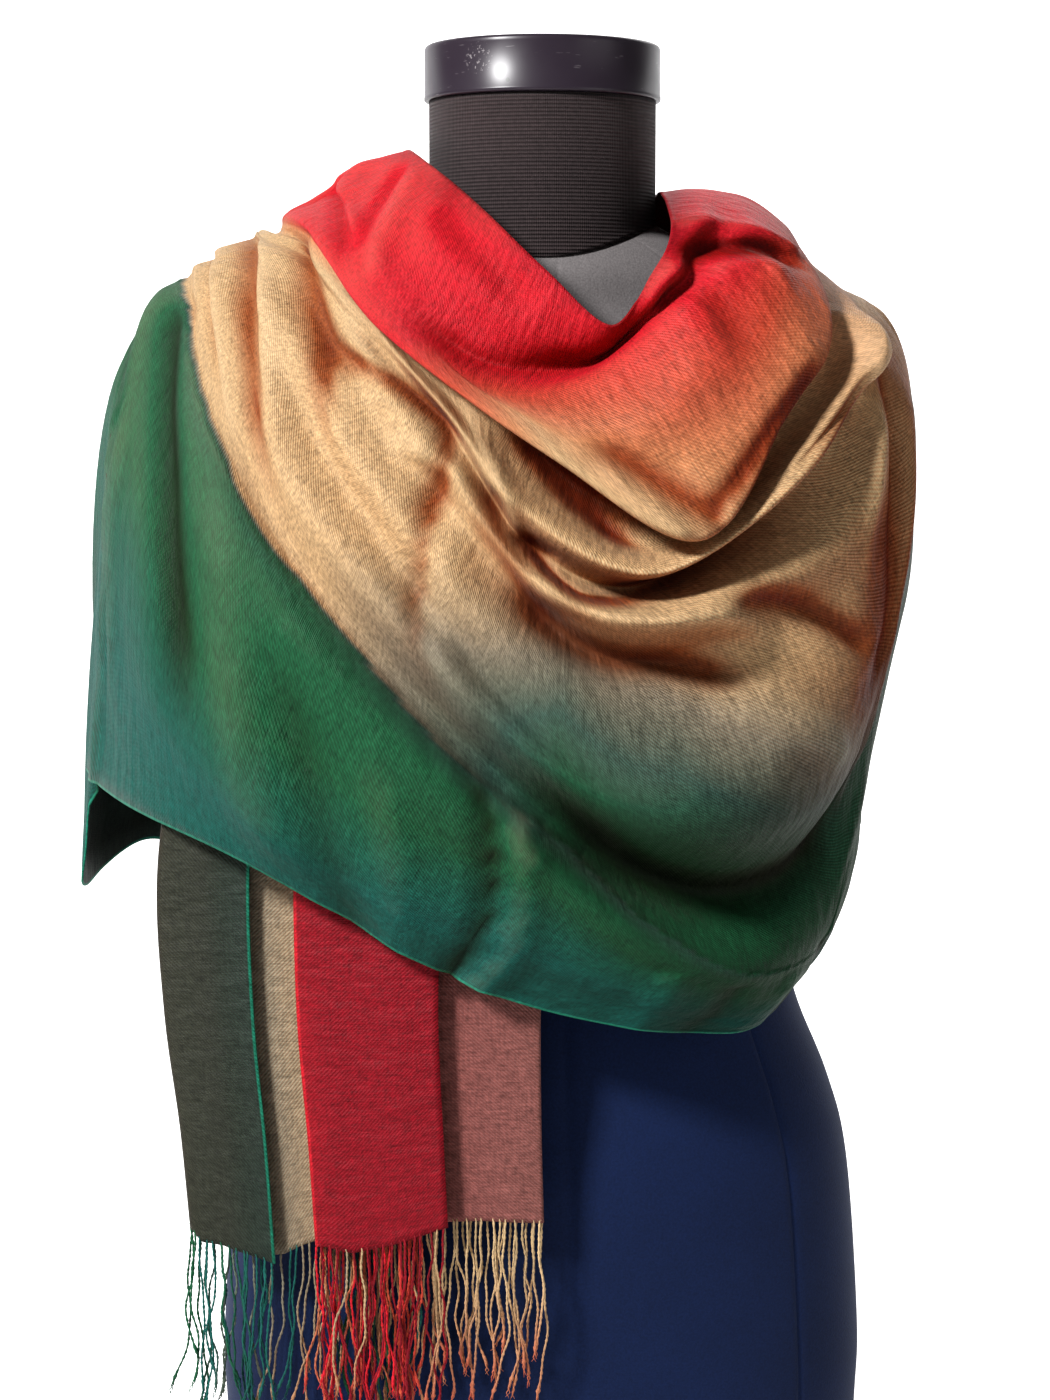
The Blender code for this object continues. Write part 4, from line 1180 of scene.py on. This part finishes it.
def knit_material(name, base, pitch):
    """Fine ribbed knit: level ribs with small stitches along them, painted lighter on their crests and
    darker in the grooves as painted light and shade.
    """
    made, tree, shader = new_material(name, Roughness=0.75, Specular_IOR_Level=0.3, Sheen_Weight=0.12)
    up, around = parts_of(tree, object_place(tree))[2], parts_of(tree, named_uv(tree, "OFBake"))[0]
    rib = math_node(tree, "SINE", math_node(tree, "MULTIPLY", up, 2 * math.pi / pitch))
    stitch = math_node(
        tree, "SINE", math_node(tree, "MULTIPLY", around, 2 * math.pi * STITCHES_AROUND))
    height = math_node(tree, "MULTIPLY_ADD", stitch, 0.35, rib)
    # Painted light and shade of the ribs: crests lighter, grooves darker
    rib_painted_light = math_node(tree, "MULTIPLY_ADD", height, 0.32, 1.0)
    level = math_node(tree, "MULTIPLY", rib_painted_light, fibres(tree, 500, 0.9, 0.5)["Shade"])
    shaded(tree, shader, tuple(base), level)
    bumped(tree, shader, height, 0.6, 0.0006)
    return made


# A patch of scuffs on the cap's front, and a small hole there whose dark inside is a painted near-black
# spot of shade, in metres
CAP_SCUFFS = (-0.033, -0.0525, 0.806)
CAP_HOLE = (-0.0177, -0.0585, 0.7945)


def cap_material(name, base):
    """Dark moulded plastic with a few scuffs, and a small hole painted as a near-black spot of shade."""
    made, tree, shader = new_material(name, Specular_IOR_Level=0.45)
    place = object_place(tree)

    def far_from(point):
        node = tree.nodes.new("ShaderNodeVectorMath")
        node.operation = "DISTANCE"
        tree.links.new(place, node.inputs[0])
        node.inputs[1].default_value = point
        return node.outputs["Value"]

    scratches = between(tree, noise(tree, place, 1, 3, (90, 90, 500)), 0.68, 0.72)
    chips = between(tree, noise(tree, place, 700, 2), 0.60, 0.64)
    chips = math_node(tree, "MULTIPLY", chips, between(tree, far_from(CAP_SCUFFS), 0.009, 0.005))
    scuffs = math_node(tree, "MAXIMUM", math_node(tree, "MULTIPLY", scratches, 0.35), chips)
    mixed = mix_colour(tree, "MIX", scuffs, tuple(base), (0.22, 0.20, 0.21))
    # The hole's dark inside, painted as a near-black spot of shade
    hole_painted_dark = between(tree, far_from(CAP_HOLE), 0.0013, 0.0009)
    mixed = mix_colour(tree, "MIX", hole_painted_dark, mixed, (0.001, 0.001, 0.001))
    tree.links.new(mixed, shader.inputs["Base Color"])
    rough = math_node(tree, "MULTIPLY_ADD", noise(tree, place, 45, 4), 0.22, 0.22)
    tree.links.new(rough, shader.inputs["Roughness"])
    return made


def backdrop_material(name, base, glow):
    """A white floor that begins to glow behind the object, where it turns into the backdrop."""
    made, tree, shader = new_material(
        name, Base_Color=tuple(base), Roughness=0.9, Emission_Strength=glow)
    behind = parts_of(tree, object_place(tree))[1]
    tree.links.new(between(tree, behind, *GLOW_STARTS), shader.inputs["Emission Color"])
    return made


# Strands


def yarn_colour(dye, stops, chance):
    """The colour of a strand whose root lies at that dye, a little off from its neighbours'."""
    places = [place for place, _ in stops]
    value = [np.interp(dye, places, [stop[k] for _, stop in stops]) for k in range(3)]
    return np.array(value) * (0.75 + 0.5 * chance)


# A strand: the length of a ring of its mesh in metres, how far its plies lie from its middle and
# how thick they are, as shares of its radius, its knot, and its tip, which opens and thins
RING_LENGTH = 0.0024
PLY_OFF, PLY_RADIUS = 0.5, 0.62
KNOT_PLACE, KNOT_SWELL, KNOT_LENGTH = 0.9, 1.3, 0.0016
TIP_FROM, TIP_SPAN, TIP_OPENS, TIP_THINS = 0.92, 0.08, 1.1, 0.6

# How far strands stray, in metres except the jitter, which is a share of their spacing: along the
# hem, up into it, in waves, sideways, in depth and in ripples
ROOT_JITTER, ROOT_RISE = 0.3, 0.0015
WAVE_RANGE, LEAN, DEPTH_LEAN, RIPPLE_RANGE = (0.001, 0.0042), 0.0045, 0.0012, (0.0002, 0.0009)

# The share of strands that take another dye, how far off it lies, the dyes whose strands turn
# towards the red at the tip, and how far they turn
ODD_SHARE, ODD_DYES = 0.2, [-0.5, 0.45, 0.6]
TURNING_DYES, TIP_DYE = (0.3, 0.7), 0.6


def strand_mesh(root, length, sway, radius, twist, side=5):
    """Two plies twisted round a wavy line down from a root, with a knot and a frayed tip."""
    rings = max(14, round(length / RING_LENGTH))
    t = np.linspace(0, 1, rings + 1)
    amount, phase, lean, depth_lean, ripple = sway
    path = np.array(root) + np.stack([
        amount * np.sin(2.4 * math.pi * t + phase) * t**0.7
        + ripple * np.sin(length * 260 * t + 3 * phase) * np.minimum(1, 4 * t) + lean * t**1.5,
        0.5 * amount * np.sin(1.7 * math.pi * t + 2 * phase) * t + depth_lean * t**1.5,
        -length * t,
    ], axis=1)
    swell = 1 + KNOT_SWELL * bell((t - KNOT_PLACE) * length, KNOT_LENGTH)
    open_tip = np.clip((t - TIP_FROM) / TIP_SPAN, 0, 1)
    verts, faces = [], []
    for ply in (0, 1):
        turn = 2 * math.pi * t * length / twist + math.pi * ply
        off = radius * (PLY_OFF + TIP_OPENS * open_tip)
        centre = path + np.stack([off * np.cos(turn), off * np.sin(turn), 0 * t], axis=1)
        thick = radius * PLY_RADIUS * swell * (1 - TIP_THINS * open_tip)
        angles = 2 * math.pi * np.arange(side) / side
        ring = np.stack([np.cos(angles), np.sin(angles), 0 * angles], axis=1)
        base = len(verts)
        tube = centre[:, None] + ring[None] * thick[:, None, None]
        verts += [tuple(p) for p in tube.reshape(-1, 3)]
        for k in range(rings):
            for m in range(side):
                a, b = base + k * side + m, base + k * side + (m + 1) % side
                faces.append((a, a + side, b + side, b))
        faces.append(tuple(base + m for m in range(side)))
        faces.append(tuple(base + rings * side + m for m in range(side - 1, -1, -1)))
    return verts, faces


def fringe_piece(name, hem, dyes, stops, settings, seed, low):
    """Strands of uneven length along a hem given in metres."""
    chance = np.random.default_rng(seed)
    steps = np.linalg.norm(np.diff(hem, axis=0), axis=1)
    run = np.concatenate([[0], np.cumsum(steps)])
    count = int(run[-1] / settings.spacing)
    verts, faces, colours = [], [], []
    for k in range(count):
        place = (k + 0.5 + chance.uniform(-ROOT_JITTER, ROOT_JITTER)) / count * run[-1]
        root = np.array([np.interp(place, run, hem[:, m]) for m in range(3)])
        dye = np.interp(place, run, dyes)
        long = min(chance.uniform(settings.shortest, settings.longest), root[2] - low)
        sway = (
            chance.uniform(*WAVE_RANGE), chance.uniform(0, 2 * math.pi),
            chance.normal(0, LEAN), chance.normal(0, DEPTH_LEAN), chance.uniform(*RIPPLE_RANGE),
        )
        root[2] += ROOT_RISE
        points, sides = strand_mesh(root, long, sway, settings.thickness / 2, settings.twist)
        faces += [tuple(v + len(verts) for v in face) for face in sides]
        verts += points
        if chance.random() < ODD_SHARE:
            dye = np.clip(dye + chance.choice(ODD_DYES), 0, 1)
        near = yarn_colour(dye, stops, chance.random())
        tip = yarn_colour(dye * TIP_DYE, stops, 0.5)
        reach = np.clip((root[2] - np.array(points)[:, 2]) / long, 0, 1)[:, None] ** 3
        if not TURNING_DYES[0] < dye < TURNING_DYES[1]:
            reach = 0 * reach
        tints = near * (1 - reach) + tip * reach
        colours.append(np.concatenate([tints, np.ones((len(points), 1))], axis=1))
    piece = new_piece(name, verts, faces, [material_named("fringe yarn", thread_material)])
    layer = piece.data.color_attributes.new("yarn", "FLOAT_COLOR", "POINT")
    layer.data.foreach_set("color", np.concatenate(colours).ravel())
    return piece


# The tail


def accordion(points_per_layer=20, points_per_turn=7):
    """The tail's section as (x, depth, dye), from the teal selvedge to the red one."""
    path = []
    for k, layer in enumerate(TAIL_LAYERS):
        way = math.copysign(1, layer.x_end - layer.x_start)
        start_depth = layer.depth
        if k == 1:
            start_depth = TAIL_LAYERS[0].depth + FIRST_TURN
        radius_in = abs(start_depth - TAIL_LAYERS[k - 1].depth) / 2 if k else 0
        radius_out = 0
        if k < len(TAIL_LAYERS) - 1:
            next_depth = TAIL_LAYERS[k + 1].depth if k else start_depth + FIRST_TURN
            radius_out = abs(next_depth - layer.depth) / 2
        first, last = layer.x_start + way * radius_in, layer.x_end - way * radius_out
        t = np.linspace(0, 1, points_per_layer)
        depth = start_depth + (layer.depth - start_depth) * eased(3 * t)
        wave = np.sin(math.pi * t) * np.sin(2 * math.pi * t * LAYER_WAVES + 2 * k)
        depth = depth + LAYER_WAVE * wave
        dye = layer.dye_start + (layer.dye_end - layer.dye_start) * t**layer.dye_bend
        path += list(zip(first + (last - first) * t, depth, dye))
        if k < len(TAIL_LAYERS) - 1:
            middle = (layer.depth + next_depth) / 2
            for angle in np.linspace(0, math.pi, points_per_turn + 2)[1:-1]:
                sign = math.copysign(1, next_depth - layer.depth)
                path.append((
                    last + way * radius_out * math.sin(angle),
                    middle - sign * radius_out * math.cos(angle),
                    layer.dye_end,
                ))
    return np.array(path)


def shoulder_height(x):
    xs, zs = zip(*sorted(UNDER_SHOULDER))
    return np.interp(x, xs, zs)


def tail_grid():
    """The tail's points as [across][along], from its selvedges' height on the shoulder down."""
    section = accordion()
    rows = []
    for drop in TAIL_DROPS:
        turned = drop.lean * math.pi / 2
        x = drop.x + (section[:, 0] - TAIL_MIDDLE) * drop.width
        z = np.full(len(x), float(drop.z)) if drop.z is not None else (
            shoulder_height(x) - STACK_UNDER_SHOULDER + drop.y * SHOULDER_FALL)
        bow = TAIL_BOW * (x / TAIL_BOW_REACH) ** 2 * max(2 * drop.lean - 1, 0)
        y = drop.y + section[:, 1] * math.sin(turned) + bow
        rows.append(np.stack([x, y, z - section[:, 1] * math.cos(turned)], axis=1))
    places = np.linspace(0, len(rows) - 1, (len(rows) - 1) * TAIL_STEPS + 1)
    surface = np.swapaxes(curve_at(rows, places), 0, 1)
    hanging = np.clip((places - HEM_LIFT_FROM) / HEM_LIFT_SPAN, 0, 1) ** 1.5
    lift = np.interp(section[:, 0], *zip(*HEM_LIFTS))
    surface[:, :, 2] += lift[:, None] * hanging
    return surface, section[:, 2] / LAST_DYE


# Operators


def settings_of(context):
    scene = context.scene
    return scene.stole, scene.stole_fringe, scene.stole_form, scene.stole_stage


def cloth_piece(name, node, surface, normals, values, stole):
    """A sheet of the stole, which keeps its last column's points and dyes for its fringe."""
    piece = cloth_shell(name, surface, normals, values, stole)
    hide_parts(node)
    piece["hem"] = [float(v) for v in (surface[:, -1] * MM).ravel()]
    piece["hem_dye"] = [float(v) for v in values["dye"][:, -1]]


class STOLE_OT_wrap(bpy.types.Operator):
    """Makes the wrap: the back stretch, the front stretch and the hanging end"""

    bl_idname = "stole.wrap"
    bl_label = "Wrap"

    def execute(self, context):
        stole, *_ = settings_of(context)
        surface, folds, along, seams = wrap_grid(stole.row_steps)
        creases, tone = crease_the(surface, folds, along)
        pleat, pleat_painted_shading = pleat_the(surface, folds, along)
        relief = creases + pleat + soft_waves(surface)
        surface = surface + away_from_axis(surface) * relief[:, :, None]
        normals = normals_of(surface)
        middle = (seams[0] + seams[1]) // 2
        if normals[len(folds) // 2, middle, 1] > 0:
            normals = -normals
        dye = dye_of(folds, along)
        # Painted light and shade: the creases', the pleat edge's, and the key light's by how the cloth
        # turns
        tone = np.clip(tone + pleat_painted_shading + key_painted_light(normals), *PAINTED_SHADING_RANGE)
        parts = [
            ("stole_back", "back_stretch", 0, seams[0]),
            ("stole_front", "front_stretch", seams[0], seams[1]),
            ("stole_end", "hanging_end", seams[1], len(along) - 1),
        ]
        values = {"dye": dye, "tone": tone, "margin": from_teal_edge(surface, False) * MM}
        for name, node, first, last in parts:
            cut = slice(first, last + 1)
            shown = {title: field[:, cut] for title, field in values.items()}
            cloth_piece(name, node, surface[:, cut], normals[:, cut], shown, stole)
        return {"FINISHED"}


class STOLE_OT_tail(bpy.types.Operator):
    """Makes the tail that hangs in front, folded like an accordion"""

    bl_idname = "stole.tail"
    bl_label = "Tail"

    def execute(self, context):
        stole, *_ = settings_of(context)
        surface, dye = tail_grid()
        normals = normals_of(surface)
        whole = np.broadcast_to(dye[:, None], surface.shape[:2])
        if normals[5, -1, 1] < 0:
            normals = -normals
        margin = from_teal_edge(surface, True) * MM
        # The tail's painted light and shade, by how it turns to the key light
        values = {"dye": whole, "tone": key_painted_light(normals), "margin": margin}
        cloth_piece("stole_tail", "tail", surface, normals, values, stole)
        return {"FINISHED"}


class STOLE_OT_fringes(bpy.types.Operator):
    bl_idname = "stole.fringes"
    bl_label = "Fringes"

    def execute(self, context):
        stole, fringe, *_ = settings_of(context)
        stops = dye_stops(stole)
        for name, cloth, node, seed in (
            ("tail_strands", "stole_tail", "tail_fringe", 7),
            ("end_strands", "stole_end", "end_fringe", 11),
        ):
            source = bpy.data.objects[cloth]
            hem = np.array(source["hem"]).reshape(-1, 3)
            dyes = np.array(source["hem_dye"])
            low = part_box(node)[0][2]
            fringe_piece(name, hem, dyes, stops, fringe, seed, low)
            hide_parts(node)
        return {"FINISHED"}


def form_point(row, angle, groove=0.0):
    """A point of the form's ring in mm, turned with the form, and sunk by groove."""
    c, s = math.cos(angle), math.sin(angle)
    depth = row.back if s > 0 else row.front
    power = 2 / FORM_ROUNDNESS
    x = (row.half_width - groove) * math.copysign(abs(c) ** power, c)
    y = (depth - groove) * math.copysign(abs(s) ** power, s)
    z = row.z + row.rise * c**2
    return (
        x * math.cos(FORM_TURN) - y * math.sin(FORM_TURN),
        x * math.sin(FORM_TURN) + y * math.cos(FORM_TURN),
        z,
    )


# The form's seams in degrees, and the groove along each: its depth in mm, its half width in
# degrees, and how much of it goes on over the chest
BODY_SEAMS = (-90, -47, -133, 90, 0, 180)
GROOVE_DEPTH = 0.9
GROOVE_HALF_WIDTH = 0.9
CHEST_GROOVE = 0.6
FORM_SEGMENTS = 132
RING_STEPS = 7


def form_angles():
    """Angles round the form, with close ones at each seam."""
    angles = list(2 * math.pi * np.arange(FORM_SEGMENTS) / FORM_SEGMENTS)
    for seam in BODY_SEAMS:
        for part in (-1, -0.5, 0, 0.5, 1):
            angles.append(math.radians(seam + part * GROOVE_HALF_WIDTH) % (2 * math.pi))
    return sorted(set(angles))


def groove_at(angle):
    """How far the seams sink the form at an angle."""
    gap = min(abs((math.degrees(angle) - seam + 180) % 360 - 180) for seam in BODY_SEAMS)
    return GROOVE_DEPTH * max(0, 1 - gap / GROOVE_HALF_WIDTH)


def form_rings(table, angles, groove):
    """Smooth rings through a table's rows, with that share of the seams' grooves."""
    last = len(table) - 1
    rows = rows_of(FormRing, curve_at(table, np.linspace(0, last, RING_STEPS * last + 1)))
    return [[form_point(row, a, groove * groove_at(a)) for a in angles] for row in rows]


def neck_hem(angle):
    """How high the neck sleeve's hem stands at an angle round the neck."""
    return NECK_HEM_FRONT + NECK_HEM_RISE * math.cos(angle) ** 2


def round_ring(radius, angles, heights):
    """A ring of points at those angles and heights."""
    return [(radius * math.cos(a), radius * math.sin(a), z) for a, z in zip(angles, heights)]


def ring_stack(name, rings, made):
    """A solid through rings of points in mm, capped with fans."""
    count = len(rings[0])
    verts = [tuple(MM * v for v in point) for ring in rings for point in ring]
    faces = []
    for level in range(len(rings) - 1):
        for k in range(count):
            a, b = level * count + k, level * count + (k + 1) % count
            faces.append((a, b, b + count, a + count))
    for level, top in ((0, False), (len(rings) - 1, True)):
        ring = [level * count + k for k in range(count)]
        centre = len(verts)
        verts.append(tuple(np.mean([verts[v] for v in ring], axis=0)))
        for a, b in zip(ring, ring[1:] + ring[:1]):
            faces.append((a, b, centre) if top else (b, a, centre))
    piece = new_piece(name, verts, faces, [made])
    layer = piece.data.uv_layers.new(name="OFBake")
    levels = len(rings)
    for loop, spot in zip(piece.data.loops, layer.data):
        v = loop.vertex_index
        if v < levels * count:
            spot.uv = ((v % count) / count, v // count / levels * 0.9 + 0.05)
        else:
            spot.uv = (0.5, 0.0 if v == levels * count else 1.0)
    return piece


# The neck sleeve: its segments and rings, how far its hem swells, over what share of its height,
# and the gap under the cap. The cap's profile: how far in from its radius, and how high above its
# bottom.
ROUND_SEGMENTS = 128
SLEEVE_RINGS = 30
HEM_SWELL, HEM_SWELL_SPAN = 0.8, 0.03
CAP_GAP = 0.3
CAP_PROFILE = [
    (2.0, 0), (0.6, 0), (0, 0.6), (0, 2.2), (0.3, 2.6),
    (0.3, 25), (0.35, 26.5), (0.8, 27.4), (1.6, 27.9), (2.6, 28),
]


class STOLE_OT_form(bpy.types.Operator):
    """Makes the dress form: body, chest, neck sleeve and cap"""

    bl_idname = "stole.form"
    bl_label = "Dress form"

    def execute(self, context):
        *_, form, _ = settings_of(context)
        angles = form_angles()
        chest = form_rings(CHEST_RINGS, angles, CHEST_GROOVE)
        turned = [a + FORM_TURN for a in angles]
        chest.append(round_ring(NECK_RADIUS, turned, map(neck_hem, turned)))
        round_angles = 2 * math.pi * np.arange(ROUND_SEGMENTS) / ROUND_SEGMENTS
        under_cap = CAP_BOTTOM - CAP_GAP
        neck = [
            round_ring(
                NECK_RADIUS + HEM_SWELL * math.exp(-t / HEM_SWELL_SPAN), round_angles,
                [neck_hem(a) * (1 - t) + under_cap * t for a in round_angles],
            )
            for t in np.linspace(0, 1, SLEEVE_RINGS)
        ]
        cap = [
            round_ring(CAP_RADIUS - inset, round_angles, [CAP_BOTTOM + up] * ROUND_SEGMENTS)
            for inset, up in CAP_PROFILE
        ]
        navy = material_named("navy jersey", felt_material, form.body, 900, 0.06)
        grey = material_named("grey chest cloth", felt_material, form.chest, 1100, 0.05)
        knit = material_named("ribbed knit", knit_material, form.knit, form.rib_pitch)
        plastic = material_named("dark cap plastic", cap_material, form.cap)
        for name, rings, made, node, slot in (
            ("form_body_cover", form_rings(BODY_RINGS, angles, 1), navy, "form_body", "body_cloth"),
            ("form_chest_cover", chest, grey, "form_chest", "chest_cloth"),
            ("form_neck_sleeve", neck, knit, "form_neck", "knit"),
            ("form_cap_moulding", cap, plastic, "form_cap", "cap"),
        ):
            piece = ring_stack(name, rings, made)
            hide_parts(node)
        return {"FINISHED"}


def area_light(name, place, aim, size, power):
    light = bpy.data.lights.new(name, "AREA")
    light.shape = "RECTANGLE"
    light.size, light.size_y = size
    light.energy = power
    lamp = bpy.data.objects.new(name, light)
    lamp.location = place
    lamp.rotation_euler = (Vector(aim) - Vector(place)).to_track_quat("-Z", "Y").to_euler()
    bpy.context.scene.collection.objects.link(lamp)


# The stage in metres: a floor that curves up into the backdrop, the three lights and the camera
FLOOR_FRONT, FLOOR_HALF_WIDTH = -3.5, 6
COVE_START, COVE_RADIUS = 3.3, 0.9
BACKDROP_TOP = 6.0
GLOW_STARTS = (0.05, 0.25)
Light = namedtuple("Light", "name place aim size")
LIGHTS = rows_of(Light, [
    ("key", (-1.4, -1.5, 1.9), (0, 0, 0.55), (0.4, 0.4)),
    ("fill", (1.6, -1.2, 0.9), (0, 0, 0.45), (1.2, 1.2)),
    ("rim", (0.6, 1.2, 1.7), (0, 0, 0.6), (1.2, 0.8)),
])
CAMERA_PLACE = (-0.00906, -1.48539, 0.64524)
CAMERA_PITCH = math.radians(90 - 6.5)
SENSOR_WIDTH = 36


class STOLE_OT_stage(bpy.types.Operator):
    """Makes the floor, the backdrop, the lights and the camera"""

    bl_idname = "stole.stage"
    bl_label = "Stage"

    def execute(self, context):
        *_, stage = settings_of(context)
        verts, faces = [], []
        profile = [
            (FLOOR_FRONT, 0),
            *(
                (COVE_START + COVE_RADIUS * math.sin(a), COVE_RADIUS - COVE_RADIUS * math.cos(a))
                for a in np.linspace(0, math.pi / 2, 14)
            ),
            (COVE_START + COVE_RADIUS, BACKDROP_TOP),
        ]
        for y, z in profile:
            verts += [(-FLOOR_HALF_WIDTH, y, z), (FLOOR_HALF_WIDTH, y, z)]
        for k in range(len(profile) - 1):
            faces.append((2 * k, 2 * k + 1, 2 * k + 3, 2 * k + 2))
        mesh = bpy.data.meshes.new("studio_floor")
        mesh.from_pydata(verts, [], faces)
        mesh.shade_smooth()
        mesh.materials.append(
            material_named("white backdrop", backdrop_material, tuple(stage.floor), stage.glow)
        )
        floor = bpy.data.objects.new("studio_floor", mesh)
        context.scene.collection.objects.link(floor)
        for light, power in zip(LIGHTS, (stage.key, stage.fill, stage.rim)):
            area_light(*light, power)
        world = bpy.data.worlds.new("studio")
        world.use_nodes = True
        background = world.node_tree.nodes["Background"]
        background.inputs["Color"].default_value = (1, 1, 1, 1)
        background.inputs["Strength"].default_value = stage.world
        context.scene.world = world
        context.scene.view_settings.view_transform = "Standard"
        context.scene.view_settings.look = "Medium High Contrast"
        lens = bpy.data.cameras.new("camera")
        lens.lens = stage.camera_lens
        lens.sensor_width = SENSOR_WIDTH
        camera = bpy.data.objects.new("camera", lens)
        camera.location = CAMERA_PLACE
        camera.rotation_euler = (CAMERA_PITCH, 0, 0)
        context.scene.collection.objects.link(camera)
        context.scene.camera = camera
        return {"FINISHED"}


class STOLE_PT_pieces(bpy.types.Panel):
    bl_idname = "STOLE_PT_pieces"
    bl_label = "Draped stole"
    bl_space_type = "VIEW_3D"
    bl_region_type = "UI"
    bl_category = "Stole"

    def draw(self, context):
        layout = self.layout
        for operator, settings in (
            ("stole.wrap", context.scene.stole), ("stole.tail", None),
            ("stole.fringes", context.scene.stole_fringe), ("stole.form", context.scene.stole_form),
            ("stole.stage", context.scene.stole_stage),
        ):
            layout.operator(operator)
            for name in getattr(settings, "__annotations__", {}):
                layout.prop(settings, name)


CLASSES = (
    StoleSettings, FringeSettings, FormSettings, StageSettings, STOLE_OT_wrap, STOLE_OT_tail,
    STOLE_OT_fringes, STOLE_OT_form, STOLE_OT_stage, STOLE_PT_pieces,
)


def register():
    for made in CLASSES:
        bpy.utils.register_class(made)
    bpy.types.Scene.stole = PointerProperty(type=StoleSettings)
    bpy.types.Scene.stole_fringe = PointerProperty(type=FringeSettings)
    bpy.types.Scene.stole_form = PointerProperty(type=FormSettings)
    bpy.types.Scene.stole_stage = PointerProperty(type=StageSettings)


def unregister():
    for name in ("stole", "stole_fringe", "stole_form", "stole_stage"):
        delattr(bpy.types.Scene, name)
    for made in reversed(CLASSES):
        bpy.utils.unregister_class(made)


def main():
    register()
    bpy.ops.stole.wrap()
    bpy.ops.stole.tail()
    bpy.ops.stole.fringes()
    bpy.ops.stole.form()
    bpy.ops.stole.stage()


if __name__ == "__main__":
    main()
